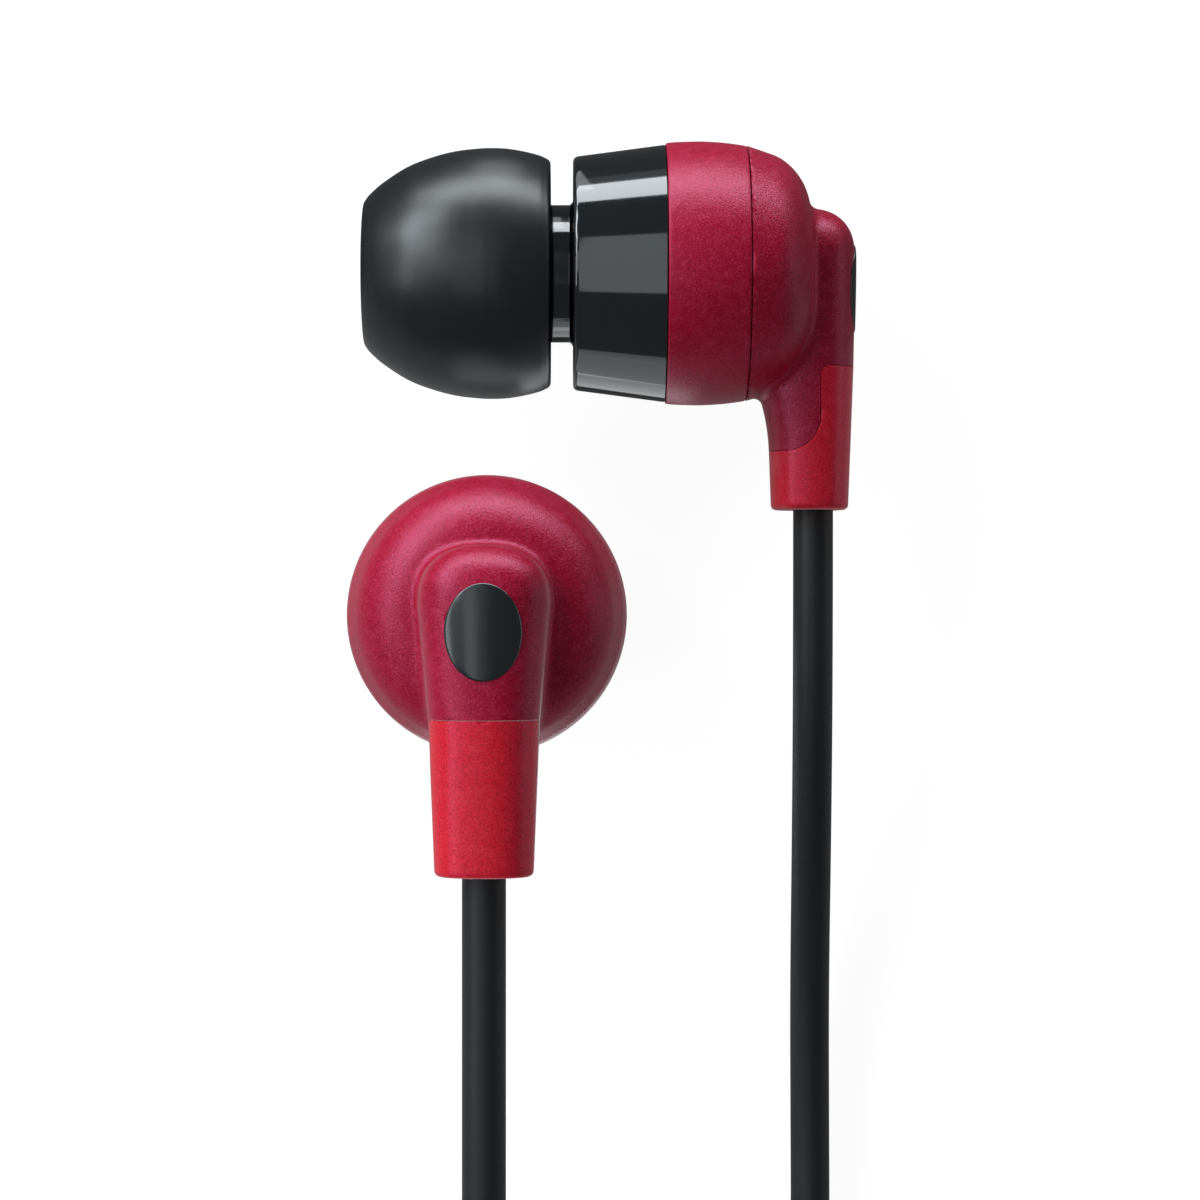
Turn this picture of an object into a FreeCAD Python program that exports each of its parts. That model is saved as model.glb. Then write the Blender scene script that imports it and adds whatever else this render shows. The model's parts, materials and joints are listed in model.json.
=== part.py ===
"""Wired in-ear earphones, modelled in millimetres.

Row frame: +Z up, z = 0 is the table. The right bud lies on its side with its nozzle towards -X, the left
bud stands on its ear tip with its back up, and both stems point to -Y. The cords run to -Y and lie put away
in coils beyond y = -40.

Bud frame: the nozzle axis is Z, the ear tip's front is z = 0, the back of the boss is the highest z, and the
stem points to -Y.
"""
import FreeCAD
import Part
import Sketcher
import math
import os

Vector = FreeCAD.Vector

SIZES = {
    # Ear tip
    "tip_length": 9.5,
    "tip_front_radius": 3.55,
    "tip_shoulder_radius": 5.8,
    "tip_shoulder_depth": 3.65,
    "tip_radius": 6.25,
    "tip_rim_radius": 5.85,
    "tip_skirt_wall": 0.6,
    "tip_sleeve_wall": 0.6,
    "tip_stop_depth": 1.7,
    "tip_sound_radius": 2.1,
    # Front housing: nozzle, neck and gloss ring
    "nozzle_radius": 2.9,
    "nozzle_wall": 0.6,
    "nozzle_fit": 0.05,
    "nozzle_front_gap": 0.3,
    "mesh_thickness": 0.2,
    "neck_radius": 3.4,
    "neck_length": 2.1,
    "ring_front": 10.6,
    "ring_front_radius": 5.85,
    "ring_back": 15.2,
    "ring_back_radius": 6.5,
    "ring_wall": 0.9,
    "spigot_length": 1.2,
    "spigot_fit": 0.05,
    # Middle shell
    "shell_length": 4.1,
    "shell_crown": 0.07,
    "shell_back_radius": 6.38,
    "shell_wall": 0.7,
    "seam": 0.06,
    # Rear cover: dome, boss and stem
    "dome_depth": 3.0,
    "dome_flat_radius": 3.4,
    "dome_wall": 0.8,
    "boss_rise": 2.35,
    "boss_centre": 0.35,
    "boss_half_width": 2.8,
    "boss_corner": 1.15,
    "stem_front": 20.4,
    "stem_half_width": 2.5,
    "stem_back_step": 0.08,
    "boot_top": 4.7,
    "boot_shoulder": 8.9,
    "boot_tongue": 1.75,
    "boot_bottom": 11.8,
    "boot_half_width": 2.25,
    "boot_front_step": 0.13,
    "boot_back_step": 0.26,
    "boot_seam": 0.07,
    "boot_foot_round": 0.25,
    "cable_depth": 22.6,
    "stem_spigot_radius": 1.6,
    "stem_spigot_length": 1.6,
    "knot_chamber_radius": 1.8,
    "knot_height": -1.6,
    # Badge
    "badge_half_width": 1.75,
    "badge_half_height": 2.2,
    "badge_centre": -0.75,
    "badge_thickness": 0.35,
    "badge_proud": 0.05,
    "badge_fit": 0.03,
    # Driver
    "driver_front_gap": 0.05,
    "driver_fit": 0.05,
    "driver_depth": 3.0,
    "frame_wall": 0.5,
    "frame_shelf": 0.5,
    "frame_floor": 0.6,
    "yoke_radius": 4.2,
    "yoke_wall": 0.25,
    "yoke_floor": 0.4,
    "yoke_length": 2.6,
    "yoke_set": 1.6,
    "plate_radius": 3.4,
    "plate_thickness": 0.6,
    "plate_set": 1.8,
    "magnet_radius": 3.2,
    "vent_radius": 0.5,
    "frame_vent_radius": 0.18,
    "voice_coil_wall": 0.25,
    "voice_coil_length": 1.7,
    "diaphragm_thickness": 0.1,
    "diaphragm_set": 1.0,
    "diaphragm_dome": 0.6,
    "diaphragm_clearance": 0.15,
    "board_width": 4.6,
    "board_height": 2.4,
    "board_thickness": 0.4,
    "wire_radius": 0.22,
    # Cords and coils
    "branch_diameter": 2.0,
    "main_diameter": 2.2,
    "bore_fit": 0.03,
    "branch_coil_gap": 0.92,
    "main_coil_gap": 1.0,
    "right_coil_radius": 10.45,
    "left_coil_radius": 11.5,
    "main_coil_radius": 10.8,
    "tie_thickness": 0.5,
    "tie_width": 4.0,
    "tie_fit": 0.12,
    # Branch junction with microphone and button
    "junction_width": 7.4,
    "junction_height": 6.2,
    "junction_length": 18.0,
    "junction_corner": 3.0,
    "junction_edge_round": 1.2,
    "junction_wall": 0.9,
    "junction_seam": 0.06,
    "relief_length": 3.0,
    "relief_height": 3.6,
    "relief_neck": 0.6,
    "inlet_spacing": 2.6,
    "inlet_half_width": 2.7,
    "outlet_half_width": 1.8,
    "button_length": 8.0,
    "button_width": 3.2,
    "button_proud": 0.5,
    "button_fit": 0.12,
    "button_flange": 0.5,
    "button_travel": 0.35,
    "circuit_length": 13.0,
    "circuit_width": 4.8,
    "circuit_thickness": 0.6,
    "switch_side": 3.0,
    "switch_height": 0.7,
    "capsule_radius": 1.5,
    "capsule_height": 1.0,
    "microphone_hole": 0.4,
    # Plug
    "plug_relief_length": 6.0,
    "plug_relief_radius": 1.6,
    "plug_relief_end_radius": 2.4,
    "grip_length": 13.0,
    "grip_radius": 3.6,
    "plug_radius": 1.75,
    "plug_sleeve_length": 4.6,
    "plug_collar": 0.45,
    "plug_ring_length": 2.0,
    "plug_insulator_length": 0.7,
    "plug_tip_length": 3.3,
    "plug_bore": 0.95,
    "plug_rod": 0.5,
    "plug_lift": 0.1,
    # Where the buds and the put-away cords lie
    "right_bud_x": -12.35,
    "right_bud_y": 11.1,
    "left_bud_x": -5.8,
    "left_bud_y": -5.9,
    "coil_x": -2.75,
    "branch_coil_y": -61.0,
    "main_coil_y": -113.2,
    "junction_x": -17.5,
    "junction_y": -77.7,
}

document = FreeCAD.newDocument("Earphones")
sheet = document.addObject("Spreadsheet::Sheet", "Sizes")


class Size:
    """A length with the sheet expression that it comes from."""

    def __init__(self, value, text):
        self.value = value
        self.text = text

    def __add__(self, other):
        other = as_size(other)
        return Size(self.value + other.value, f"({self.text} + {other.text})")

    def __radd__(self, other):
        return as_size(other) + self

    def __sub__(self, other):
        other = as_size(other)
        return Size(self.value - other.value, f"({self.text} - {other.text})")

    def __rsub__(self, other):
        return as_size(other) - self

    def __mul__(self, other):
        other = as_size(other)
        return Size(self.value * other.value, f"({self.text} * {other.text})")

    def __rmul__(self, other):
        return as_size(other) * self

    def __truediv__(self, other):
        other = as_size(other)
        return Size(self.value / other.value, f"({self.text} / {other.text})")

    def __neg__(self):
        return Size(-self.value, f"(0 - {self.text})")


def as_size(number):
    """The number as a Size, so that sizes and plain numbers mix."""
    return number if isinstance(number, Size) else Size(float(number), f"{number}")


def fill_sheet():
    """Writes each driving size to the sheet under its own alias."""
    for row, (alias, value) in enumerate(SIZES.items(), 1):
        sheet.set(f"A{row}", alias)
        sheet.set(f"B{row}", str(value))
        sheet.setAlias(f"B{row}", alias)
    document.recompute()


def size(alias):
    """The driving size of that name."""
    return Size(SIZES[alias], f"Sizes.{alias}")


def bind(thing, name, value):
    """Sets a property of an object and keeps it tied to the sheet."""
    value = as_size(value)
    setattr(thing, name, value.value)
    if "Sizes." in value.text:
        thing.setExpression(name, value.text)


def origin_plane(body, role):
    return next(part for part in body.Origin.OriginFeatures if part.Role == role)


def flat_sketch(body, name, role, shift=0.0):
    """An empty sketch on one of the body's origin planes, moved along the plane's normal by shift."""
    sketch = body.newObject("Sketcher::SketchObject", name)
    sketch.AttachmentSupport = [(origin_plane(body, role), "")]
    sketch.MapMode = "FlatFace"
    shift = as_size(shift)
    sketch.AttachmentOffset = FreeCAD.Placement(Vector(0, 0, shift.value), FreeCAD.Rotation())
    if "Sizes." in shift.text:
        sketch.setExpression("AttachmentOffset.Base.z", shift.text)
    return sketch


def fix_point(sketch, piece, end, across, along):
    """Ties one point of a sketch to its two distances from the sketch's origin."""
    for kind, value in (("DistanceX", across), ("DistanceY", along)):
        value = as_size(value)
        index = sketch.addConstraint(Sketcher.Constraint(kind, -1, 1, piece, end, value.value))
        if "Sizes." in value.text:
            sketch.setExpression(f"Constraints[{index}]", value.text)


def point_of(corner):
    return Vector(as_size(corner[-2]).value, as_size(corner[-1]).value, 0)


def draw_outline(sketch, path):
    """A closed outline through the corners in path. An entry ("via", x, y) makes the side between its
    neighbours an arc through that point."""
    corners = [index for index, corner in enumerate(path) if corner[0] != "via"]
    sides = []
    for here, there in zip(corners, corners[1:] + [corners[0] + len(path)]):
        start = point_of(path[here])
        finish = point_of(path[there % len(path)])
        if there - here == 1:
            piece = sketch.addGeometry(Part.LineSegment(start, finish), False)
            sides.append((piece, 1, 2))
            continue
        middle = path[here + 1]
        arc = Part.Arc(start, point_of(middle), finish)
        piece = sketch.addGeometry(arc, False)
        forward = sketch.getPoint(piece, 1).distanceToPoint(start) < 1e-6
        sides.append((piece, 1, 2) if forward else (piece, 2, 1))
        mark = sketch.addGeometry(Part.Point(point_of(middle)), True)
        fix_point(sketch, mark, 1, middle[1], middle[2])
        sketch.addConstraint(Sketcher.Constraint("PointOnObject", mark, 1, piece))
    for (piece, _, end), (other, start, _) in zip(sides, sides[1:] + sides[:1]):
        sketch.addConstraint(Sketcher.Constraint("Coincident", piece, end, other, start))
    for (piece, start, _), index in zip(sides, corners):
        fix_point(sketch, piece, start, *path[index])


def draw_circle(sketch, across, along, radius):
    centre = Vector(as_size(across).value, as_size(along).value, 0)
    radius = as_size(radius)
    piece = sketch.addGeometry(Part.Circle(centre, Vector(0, 0, 1), radius.value), False)
    fix_point(sketch, piece, 3, across, along)
    index = sketch.addConstraint(Sketcher.Constraint("Radius", piece, radius.value))
    if "Sizes." in radius.text:
        sketch.setExpression(f"Constraints[{index}]", radius.text)


def new_body(name):
    return document.addObject("PartDesign::Body", name)


def turned(body, name, path, kind="PartDesign::Revolution", role="XZ_Plane", shift=0.0):
    """The outline turned a full circle about its sketch's upright axis."""
    sketch = flat_sketch(body, name + "_outline", role, shift)
    draw_outline(sketch, path)
    feature = body.newObject(kind, name)
    feature.Profile = sketch
    feature.ReferenceAxis = (sketch, ["V_Axis"])
    feature.Angle = 360
    return feature


def raised(body, name, draw, length, role="XY_Plane", shift=0.0, kind="PartDesign::Pad", both=False,
           back=False):
    """A pad or pocket of what draw puts in a sketch."""
    sketch = flat_sketch(body, name + "_outline", role, shift)
    draw(sketch)
    feature = body.newObject(kind, name)
    feature.Profile = sketch
    bind(feature, "Length", length)
    feature.Midplane = both
    feature.Reversed = back
    return feature


def rectangle(x_low, x_high, y_low, y_high):
    return [(x_low, y_low), (x_high, y_low), (x_high, y_high), (x_low, y_high)]


def rounded(x_low, x_high, y_low, y_high, corner):
    """A rectangle whose corners are quarter circles."""
    inset = corner * (1 - math.sqrt(0.5))
    return [
        (x_low + corner, y_low), (x_high - corner, y_low), ("via", x_high - inset, y_low + inset),
        (x_high, y_low + corner), (x_high, y_high - corner), ("via", x_high - inset, y_high - inset),
        (x_high - corner, y_high), (x_low + corner, y_high), ("via", x_low + inset, y_high - inset),
        (x_low, y_high - corner), (x_low, y_low + corner), ("via", x_low + inset, y_low + inset),
    ]


def boolean(kind, name, base, tool):
    """A Part cut or common of two objects."""
    result = document.addObject(kind, name)
    result.Base = base
    result.Tool = tool
    return result


def fused(name, pieces):
    result = document.addObject("Part::MultiFuse", name)
    result.Shapes = pieces
    return result


def cylinder(name, radius, height, position, direction=Vector(0, 0, 1)):
    """A cylinder from position along direction, whose position may hold sizes."""
    result = document.addObject("Part::Cylinder", name)
    bind(result, "Radius", radius)
    bind(result, "Height", height)
    turn = FreeCAD.Rotation(Vector(0, 0, 1), direction)
    place(result, position, turn)
    return result


def place(thing, position, turn=FreeCAD.Rotation()):
    """Puts an object at a position whose three values may be sizes."""
    position = [as_size(value) for value in position]
    thing.Placement = FreeCAD.Placement(Vector(*(value.value for value in position)), turn)
    for axis, value in zip("xyz", position):
        if "Sizes." in value.text:
            thing.setExpression(f"Placement.Base.{axis}", value.text)


fill_sheet()
nodes = {}

# Lengths along a bud's axis that several pieces share

RING_FRONT = size("ring_front")
RING_BACK = size("ring_back")
NECK_FRONT = RING_FRONT - size("neck_length")
NOZZLE_FRONT = size("tip_stop_depth") + size("nozzle_front_gap")
NOZZLE_LIP = size("nozzle_radius") + 0.05
NOZZLE_BORE = size("nozzle_radius") - size("nozzle_wall")
CHAMBER_FRONT = RING_FRONT + size("ring_wall")
DRIVER_RADIUS = size("yoke_radius") + size("driver_fit") + size("frame_shelf") + size("frame_wall")
SPIGOT_BORE = DRIVER_RADIUS + size("driver_fit")
SPIGOT_RADIUS = size("ring_back_radius") - size("shell_wall") - size("spigot_fit")
CABLE = size("cable_depth")
SHELL_BACK = RING_BACK + size("shell_length")
DOME_BACK = SHELL_BACK + size("dome_depth")
BOSS_BACK = DOME_BACK + size("boss_rise")
DRIVER_FRONT = CHAMBER_FRONT + size("driver_front_gap")
YOKE_FRONT = DRIVER_FRONT + size("yoke_set")
YOKE_FLOOR = YOKE_FRONT + size("yoke_length") - size("yoke_floor")
PLATE_FRONT = DRIVER_FRONT + size("plate_set")
DIAPHRAGM = DRIVER_FRONT + size("diaphragm_set")
COIL_GAP = size("yoke_radius") - size("yoke_wall") - size("plate_radius")
BRANCH = size("branch_diameter") / 2


def make_ear_tip(name):
    """A dome over a hollow skirt, with a sleeve inside that slides over the nozzle."""
    length = size("tip_length")
    bore = NOZZLE_LIP + size("nozzle_fit")
    sleeve = bore + size("tip_sleeve_wall")
    sleeve_end = NECK_FRONT - size("nozzle_front_gap")
    wall = size("tip_skirt_wall")
    front = size("tip_front_radius")
    shoulder = size("tip_shoulder_radius")
    depth = size("tip_shoulder_depth")
    widest = size("tip_radius")
    rim = size("tip_rim_radius")
    body = new_body(name)
    turned(body, name + "_form", [
        (size("tip_sound_radius"), 0),
        (front, 0), ("via", front + (shoulder - front) * 0.56, depth * 0.4),
        (shoulder, depth), ("via", widest, depth + (length - depth) * 0.5),
        (rim, length - 0.4), ("via", rim - 0.08, length - 0.12),
        (rim - 0.35, length), (rim - wall, length - 0.15),
        ("via", widest - wall * 1.1, depth + (length - depth) * 0.5),
        (shoulder - wall * 1.2, depth + 0.1), ("via", (sleeve + shoulder - wall) / 2 + 0.05, depth * 0.72),
        (sleeve, depth * 0.6), (sleeve, sleeve_end), (bore, sleeve_end),
        (bore, size("tip_stop_depth")), (size("tip_sound_radius"), size("tip_stop_depth")),
    ])
    return body


def make_front_housing(name):
    """Nozzle, neck and gloss ring in one moulding, with a spigot that enters the middle shell."""
    nozzle = size("nozzle_radius")
    ring = size("ring_front_radius")
    body = new_body(name)
    turned(body, name + "_form", [
        (NOZZLE_BORE, NOZZLE_FRONT), (NOZZLE_LIP, NOZZLE_FRONT), (NOZZLE_LIP, NOZZLE_FRONT + 0.7),
        (nozzle, NOZZLE_FRONT + 1.0), (nozzle, NECK_FRONT), (size("neck_radius"), NECK_FRONT),
        (size("neck_radius"), RING_FRONT), (ring - 0.3, RING_FRONT),
        ("via", ring - 0.08, RING_FRONT + 0.08), (ring, RING_FRONT + 0.3),
        (size("ring_back_radius"), RING_BACK), (SPIGOT_RADIUS, RING_BACK),
        (SPIGOT_RADIUS, RING_BACK + size("spigot_length")),
        (SPIGOT_BORE, RING_BACK + size("spigot_length")), (SPIGOT_BORE, CHAMBER_FRONT),
        (NOZZLE_BORE, CHAMBER_FRONT),
    ])
    return body


def make_nozzle_mesh(name):
    body = new_body(name)
    start = NOZZLE_FRONT + 0.2
    turned(body, name + "_form", rectangle(0, NOZZLE_BORE, start, start + size("mesh_thickness")))
    return body


def make_middle_shell(name):
    """A slightly crowned ring that takes the front housing's spigot and the rear cover's."""
    inner = size("ring_back_radius") - size("shell_wall")
    back = SHELL_BACK - size("seam")
    crown = size("ring_back_radius") + size("shell_crown")
    body = new_body(name)
    turned(body, name + "_form", [
        (inner, RING_BACK), (size("ring_back_radius"), RING_BACK),
        ("via", crown, (RING_BACK + SHELL_BACK) / 2), (size("shell_back_radius"), back),
        (inner, back),
    ])
    return body


def stem_section(sketch, half_width, front, back):
    """A rounded rectangle across the stem, drawn wide by deep."""
    draw_outline(sketch, rounded(-half_width, half_width, front, back, size("boss_corner")))


def stem_loft(body, name, sections):
    """A ruled loft down the stem. Each section is (drop below the axis, half width, front, back)."""
    sketches = []
    for index, (drop, half_width, front, back) in enumerate(sections):
        sketch = flat_sketch(body, f"{name}_section_{index}", "XZ_Plane", drop)
        stem_section(sketch, half_width, front, back)
        sketches.append(sketch)
    loft = body.newObject("PartDesign::AdditiveLoft", name)
    loft.Profile = sketches[0]
    loft.Sections = sketches[1:]
    loft.Ruled = True
    return loft


STEM_FRONT = size("stem_front")
STEM_KNEE = (size("boot_top"), size("stem_half_width"), STEM_FRONT, BOSS_BACK - size("stem_back_step"))
STEM_FOOT = (
    size("boot_bottom"), size("boot_half_width"), STEM_FRONT + size("boot_front_step"),
    BOSS_BACK - size("stem_back_step") - size("boot_back_step"),
)


def boot_edge(gap):
    """The line, seen from the side, along which the boot meets the cover, from the back to the front.
    gap moves it up and forward, off the boot."""
    top = -size("boot_top") + gap
    shoulder = -size("boot_shoulder") + gap
    tongue = BOSS_BACK - size("boot_tongue") - gap
    return [
        (top, BOSS_BACK + 1), (top, tongue + 0.4), ("via", top - 0.12, tongue + 0.12),
        (top - 0.4, tongue), (shoulder + 1.65, tongue - 0.04),
        ("via", shoulder + 0.5, tongue - 0.54), (shoulder, tongue - 1.7), (shoulder, STEM_FRONT - 1),
    ]


def make_rear_cover(name):
    """A domed cover with an arch-shaped boss that runs down into the stem, less what the boot takes."""
    edge = size("shell_back_radius")
    flat = size("dome_flat_radius")
    wall = size("dome_wall")
    start = SHELL_BACK
    plug_in = SPIGOT_RADIUS
    body = new_body(name + "_body")
    turned(body, name + "_dome", [
        (0, start - 1), (plug_in, start - 1), (plug_in, start), (edge, start),
        ("via", edge - 0.78, start + size("dome_depth") * 0.62), (flat, DOME_BACK), (0, DOME_BACK),
    ])
    corner = size("boss_corner")
    inset = corner * (1 - math.sqrt(0.5))
    half = size("boss_half_width")
    turned(body, name + "_arch", [
        (0, STEM_FRONT), (half - corner, STEM_FRONT), ("via", half - inset, STEM_FRONT + inset),
        (half, STEM_FRONT + corner), (half, BOSS_BACK - corner), ("via", half - inset, BOSS_BACK - inset),
        (half - corner, BOSS_BACK), (0, BOSS_BACK),
    ], shift=-size("boss_centre"))
    stem_loft(body, name + "_stem", [
        (-size("boss_centre"), half, STEM_FRONT, BOSS_BACK), STEM_KNEE, STEM_FOOT,
    ])
    below = -(size("boot_bottom") + 1)
    raised(body, name + "_boot_room",
           lambda sketch: draw_outline(sketch, boot_edge(size("boot_seam")) + [
               (below, STEM_FRONT - 1), (below, BOSS_BACK + 1)]),
           half * 4, "YZ_Plane", kind="PartDesign::Pocket", both=True)
    raised(body, name + "_spigot",
           lambda sketch: draw_circle(sketch, 0, CABLE, size("stem_spigot_radius")),
           size("stem_spigot_length") + 1, "XZ_Plane", size("boot_shoulder") - 1)
    turned(body, name + "_hollow", [
        (0, start - 1.5), (plug_in - wall, start - 1.5), (plug_in - wall, start + 0.4),
        ("via", edge - 0.85 - wall, start + size("dome_depth") * 0.45),
        (flat - 0.4, DOME_BACK - wall), (0, DOME_BACK - wall),
    ], "PartDesign::Groove")
    raised(body, name + "_cable_way",
           lambda sketch: draw_circle(sketch, 0, CABLE, BRANCH + size("bore_fit")),
           size("boot_bottom") + 1 + size("knot_height"), "XZ_Plane", -size("knot_height"),
           "PartDesign::Pocket", back=True)
    raised(body, name + "_knot_room",
           lambda sketch: draw_circle(sketch, 0, size("knot_height"), size("knot_chamber_radius")),
           CABLE + 1.6 - (DOME_BACK - wall - 1), "XY_Plane", DOME_BACK - wall - 1,
           "PartDesign::Pocket", back=True)
    return body


def make_oval(name, grow, low, high):
    """An upright oval disc for the badge or its seat."""
    oval = document.addObject("Part::Ellipse", name + "_oval")
    bind(oval, "MajorRadius", size("badge_half_height") + grow)
    bind(oval, "MinorRadius", size("badge_half_width") + grow)
    place(oval, (0, size("badge_centre"), low), FreeCAD.Rotation(Vector(0, 0, 1), 90))
    disc = document.addObject("Part::Extrusion", name)
    disc.Base = oval
    disc.DirMode = "Custom"
    disc.Dir = Vector(0, 0, 1)
    disc.Solid = True
    bind(disc, "LengthFwd", high - low)
    return disc


def make_covered(name):
    """The rear cover with the seat of the badge cut into the boss."""
    floor = BOSS_BACK + size("badge_proud") - size("badge_thickness") - size("badge_fit")
    seat = make_oval(name + "_seat", size("badge_fit"), floor, BOSS_BACK + 0.5)
    return boolean("Part::Cut", name, make_rear_cover(name), seat)


def make_badge(name):
    back = BOSS_BACK + size("badge_proud")
    return make_oval(name, 0, back - size("badge_thickness"), back)


def make_boot(name):
    """The flexible boot: the foot of the stem and a tongue up its back, bored for the cable."""
    body = new_body(name)
    stem_loft(body, name + "_form", [
        (size("boot_top") - 0.5, *STEM_KNEE[1:]), STEM_KNEE, STEM_FOOT,
    ])
    above = 2
    raised(body, name + "_cover_room",
           lambda sketch: draw_outline(sketch, boot_edge(0) + [(above, STEM_FRONT - 1), (above, BOSS_BACK + 1)]),
           size("boss_half_width") * 4, "YZ_Plane", kind="PartDesign::Pocket", both=True)
    raised(body, name + "_spigot_room",
           lambda sketch: draw_circle(sketch, 0, CABLE, size("stem_spigot_radius") + size("boot_seam")),
           size("boot_shoulder") - size("boot_top") + size("stem_spigot_length") + size("boot_seam"),
           "XZ_Plane", size("boot_top"), "PartDesign::Pocket", back=True)
    raised(body, name + "_bore",
           lambda sketch: draw_circle(sketch, 0, CABLE, BRANCH + size("bore_fit")),
           size("boot_bottom") - size("boot_top") + 1, "XZ_Plane", size("boot_top"),
           "PartDesign::Pocket", back=True)
    return body


def make_driver_frame(name):
    outer = DRIVER_RADIUS
    inner = outer - size("frame_wall")
    back = DRIVER_FRONT + size("driver_depth")
    floor = back - size("frame_floor")
    seat = size("yoke_radius") + size("driver_fit")
    body = new_body(name)
    turned(body, name + "_form", [
        (inner, DRIVER_FRONT), (outer, DRIVER_FRONT), (outer, back), (seat, back), (seat, floor), (inner, floor),
    ])
    middle = (seat + inner) / 2
    vent = raised(body, name + "_vent",
                  lambda sketch: draw_circle(sketch, middle, 0, size("frame_vent_radius")),
                  size("frame_floor") + 1, "XY_Plane", floor - 0.5, "PartDesign::Pocket", back=True)
    pattern = body.newObject("PartDesign::PolarPattern", name + "_vents")
    pattern.Originals = [vent]
    pattern.Axis = (vent.Profile[0], ["N_Axis"])
    pattern.Angle = 360
    pattern.Occurrences = 8
    body.Tip = pattern
    return body


def make_yoke(name):
    outer = size("yoke_radius")
    inner = outer - size("yoke_wall")
    back = YOKE_FLOOR + size("yoke_floor")
    body = new_body(name)
    turned(body, name + "_form", [
        (size("vent_radius"), YOKE_FLOOR), (inner, YOKE_FLOOR), (inner, YOKE_FRONT), (outer, YOKE_FRONT),
        (outer, back), (size("vent_radius"), back),
    ])
    return body


def make_magnet(name):
    body = new_body(name)
    start = PLATE_FRONT + size("plate_thickness")
    turned(body, name + "_form", rectangle(size("vent_radius"), size("magnet_radius"), start, YOKE_FLOOR))
    return body


def make_top_plate(name):
    body = new_body(name)
    turned(body, name + "_form", rectangle(
        size("vent_radius"), size("plate_radius"), PLATE_FRONT, PLATE_FRONT + size("plate_thickness")))
    return body


def voice_coil_radii():
    middle = size("plate_radius") + COIL_GAP / 2
    return middle - size("voice_coil_wall") / 2, middle + size("voice_coil_wall") / 2


def make_diaphragm(name):
    """A thin dome with a half-roll surround, over the voice coil."""
    inner, outer = voice_coil_radii()
    rim = DRIVER_RADIUS - size("frame_wall") - size("diaphragm_clearance")
    film = size("diaphragm_thickness")
    dome = size("diaphragm_dome")
    edge = rim - 0.2
    roll = (outer + edge) / 2
    crown = inner * 0.15
    body = new_body(name)
    turned(body, name + "_form", [
        (0, DIAPHRAGM - dome), (crown, DIAPHRAGM - dome),
        ("via", crown + (inner - crown) * 0.5, DIAPHRAGM - dome * 0.73), (inner, DIAPHRAGM),
        (outer, DIAPHRAGM), ("via", roll, DIAPHRAGM - 0.14), (edge, DIAPHRAGM), (rim, DIAPHRAGM),
        (rim, DIAPHRAGM + film), (edge, DIAPHRAGM + film), ("via", roll, DIAPHRAGM - 0.14 + film),
        (outer, DIAPHRAGM + film),
        (inner, DIAPHRAGM + film), ("via", crown + (inner - crown) * 0.5, DIAPHRAGM - dome * 0.73 + film),
        (crown, DIAPHRAGM - dome + film), (0, DIAPHRAGM - dome + film),
    ])
    return body


def make_voice_coil(name):
    inner, outer = voice_coil_radii()
    start = DIAPHRAGM + size("diaphragm_thickness")
    body = new_body(name)
    turned(body, name + "_form", rectangle(inner, outer, start, start + size("voice_coil_length")))
    return body


def make_terminal_board(name):
    half = size("board_width") / 2
    start = YOKE_FLOOR + size("yoke_floor") + 0.05
    body = new_body(name)
    raised(body, name + "_form",
           lambda sketch: draw_outline(sketch, rectangle(-half, half, -size("board_height"), 0)),
           size("board_thickness"), "XY_Plane", start)
    return body


def make_cable_end(name):
    """The last of the cable inside the boot and the stem, with a knot that takes the pull."""
    rise = size("boot_bottom") + size("knot_height") + 0.6
    run = cylinder(name + "_run", BRANCH, rise, (0, -size("boot_bottom"), CABLE), Vector(0, 1, 0))
    knot = document.addObject("Part::Torus", name + "_knot")
    bind(knot, "Radius1", BRANCH * 0.85)
    bind(knot, "Radius2", BRANCH * 0.6)
    place(knot, (0, size("knot_height"), CABLE), FreeCAD.Rotation(Vector(1, 0, 0), 90))
    return fused(name, [run, knot])


def rounded_path(points):
    """Straight runs joined by tangent arcs. Each arc takes 0.45 of the shorter run beside its point.
    Gives the edges and the arcs' radii."""
    edges = []
    radii = []
    here = points[0]
    for before, point, after in zip(points, points[1:], points[2:]):
        inward = (point - before).normalize()
        outward = (after - point).normalize()
        turn = inward.getAngle(outward)
        cut = 0.45 * min((point - before).Length, (after - point).Length)
        radius = cut / math.tan(turn / 2)
        start = point - inward * cut
        finish = point + outward * cut
        aside = (outward - inward).normalize()
        middle = point + aside * (radius / math.cos(turn / 2) - radius)
        edges.append(Part.makeLine(here, start))
        edges.append(Part.Arc(start, middle, finish).toShape())
        radii.append(radius)
        here = finish
    edges.append(Part.makeLine(here, points[-1]))
    return edges, radii


def tube(name, edges, radius):
    """A solid round tube along the edges, checked against its section times its length."""
    path = Part.Wire(edges)
    first = edges[0]
    heading = first.tangentAt(first.FirstParameter)
    ring = Part.Wire([Part.makeCircle(radius, first.valueAt(first.FirstParameter), heading)])
    result = document.addObject("Part::Feature", name)
    result.Shape = path.makePipeShell([ring], True, False)
    want = math.pi * radius**2 * path.Length
    if abs(result.Shape.Volume / want - 1) > 0.01:
        raise ValueError(f"{name} holds {result.Shape.Volume:.1f} instead of {want:.1f} cubic millimetres")
    print(f"{name}: {path.Length:.1f} mm long")
    return result


def free_stretch(name, points, radius):
    edges, radii = rounded_path([Vector(*point) for point in points])
    print(f"{name}: arcs of {', '.join(f'{radius:.1f}' for radius in radii)} mm")
    return tube(name, edges, radius)


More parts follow.
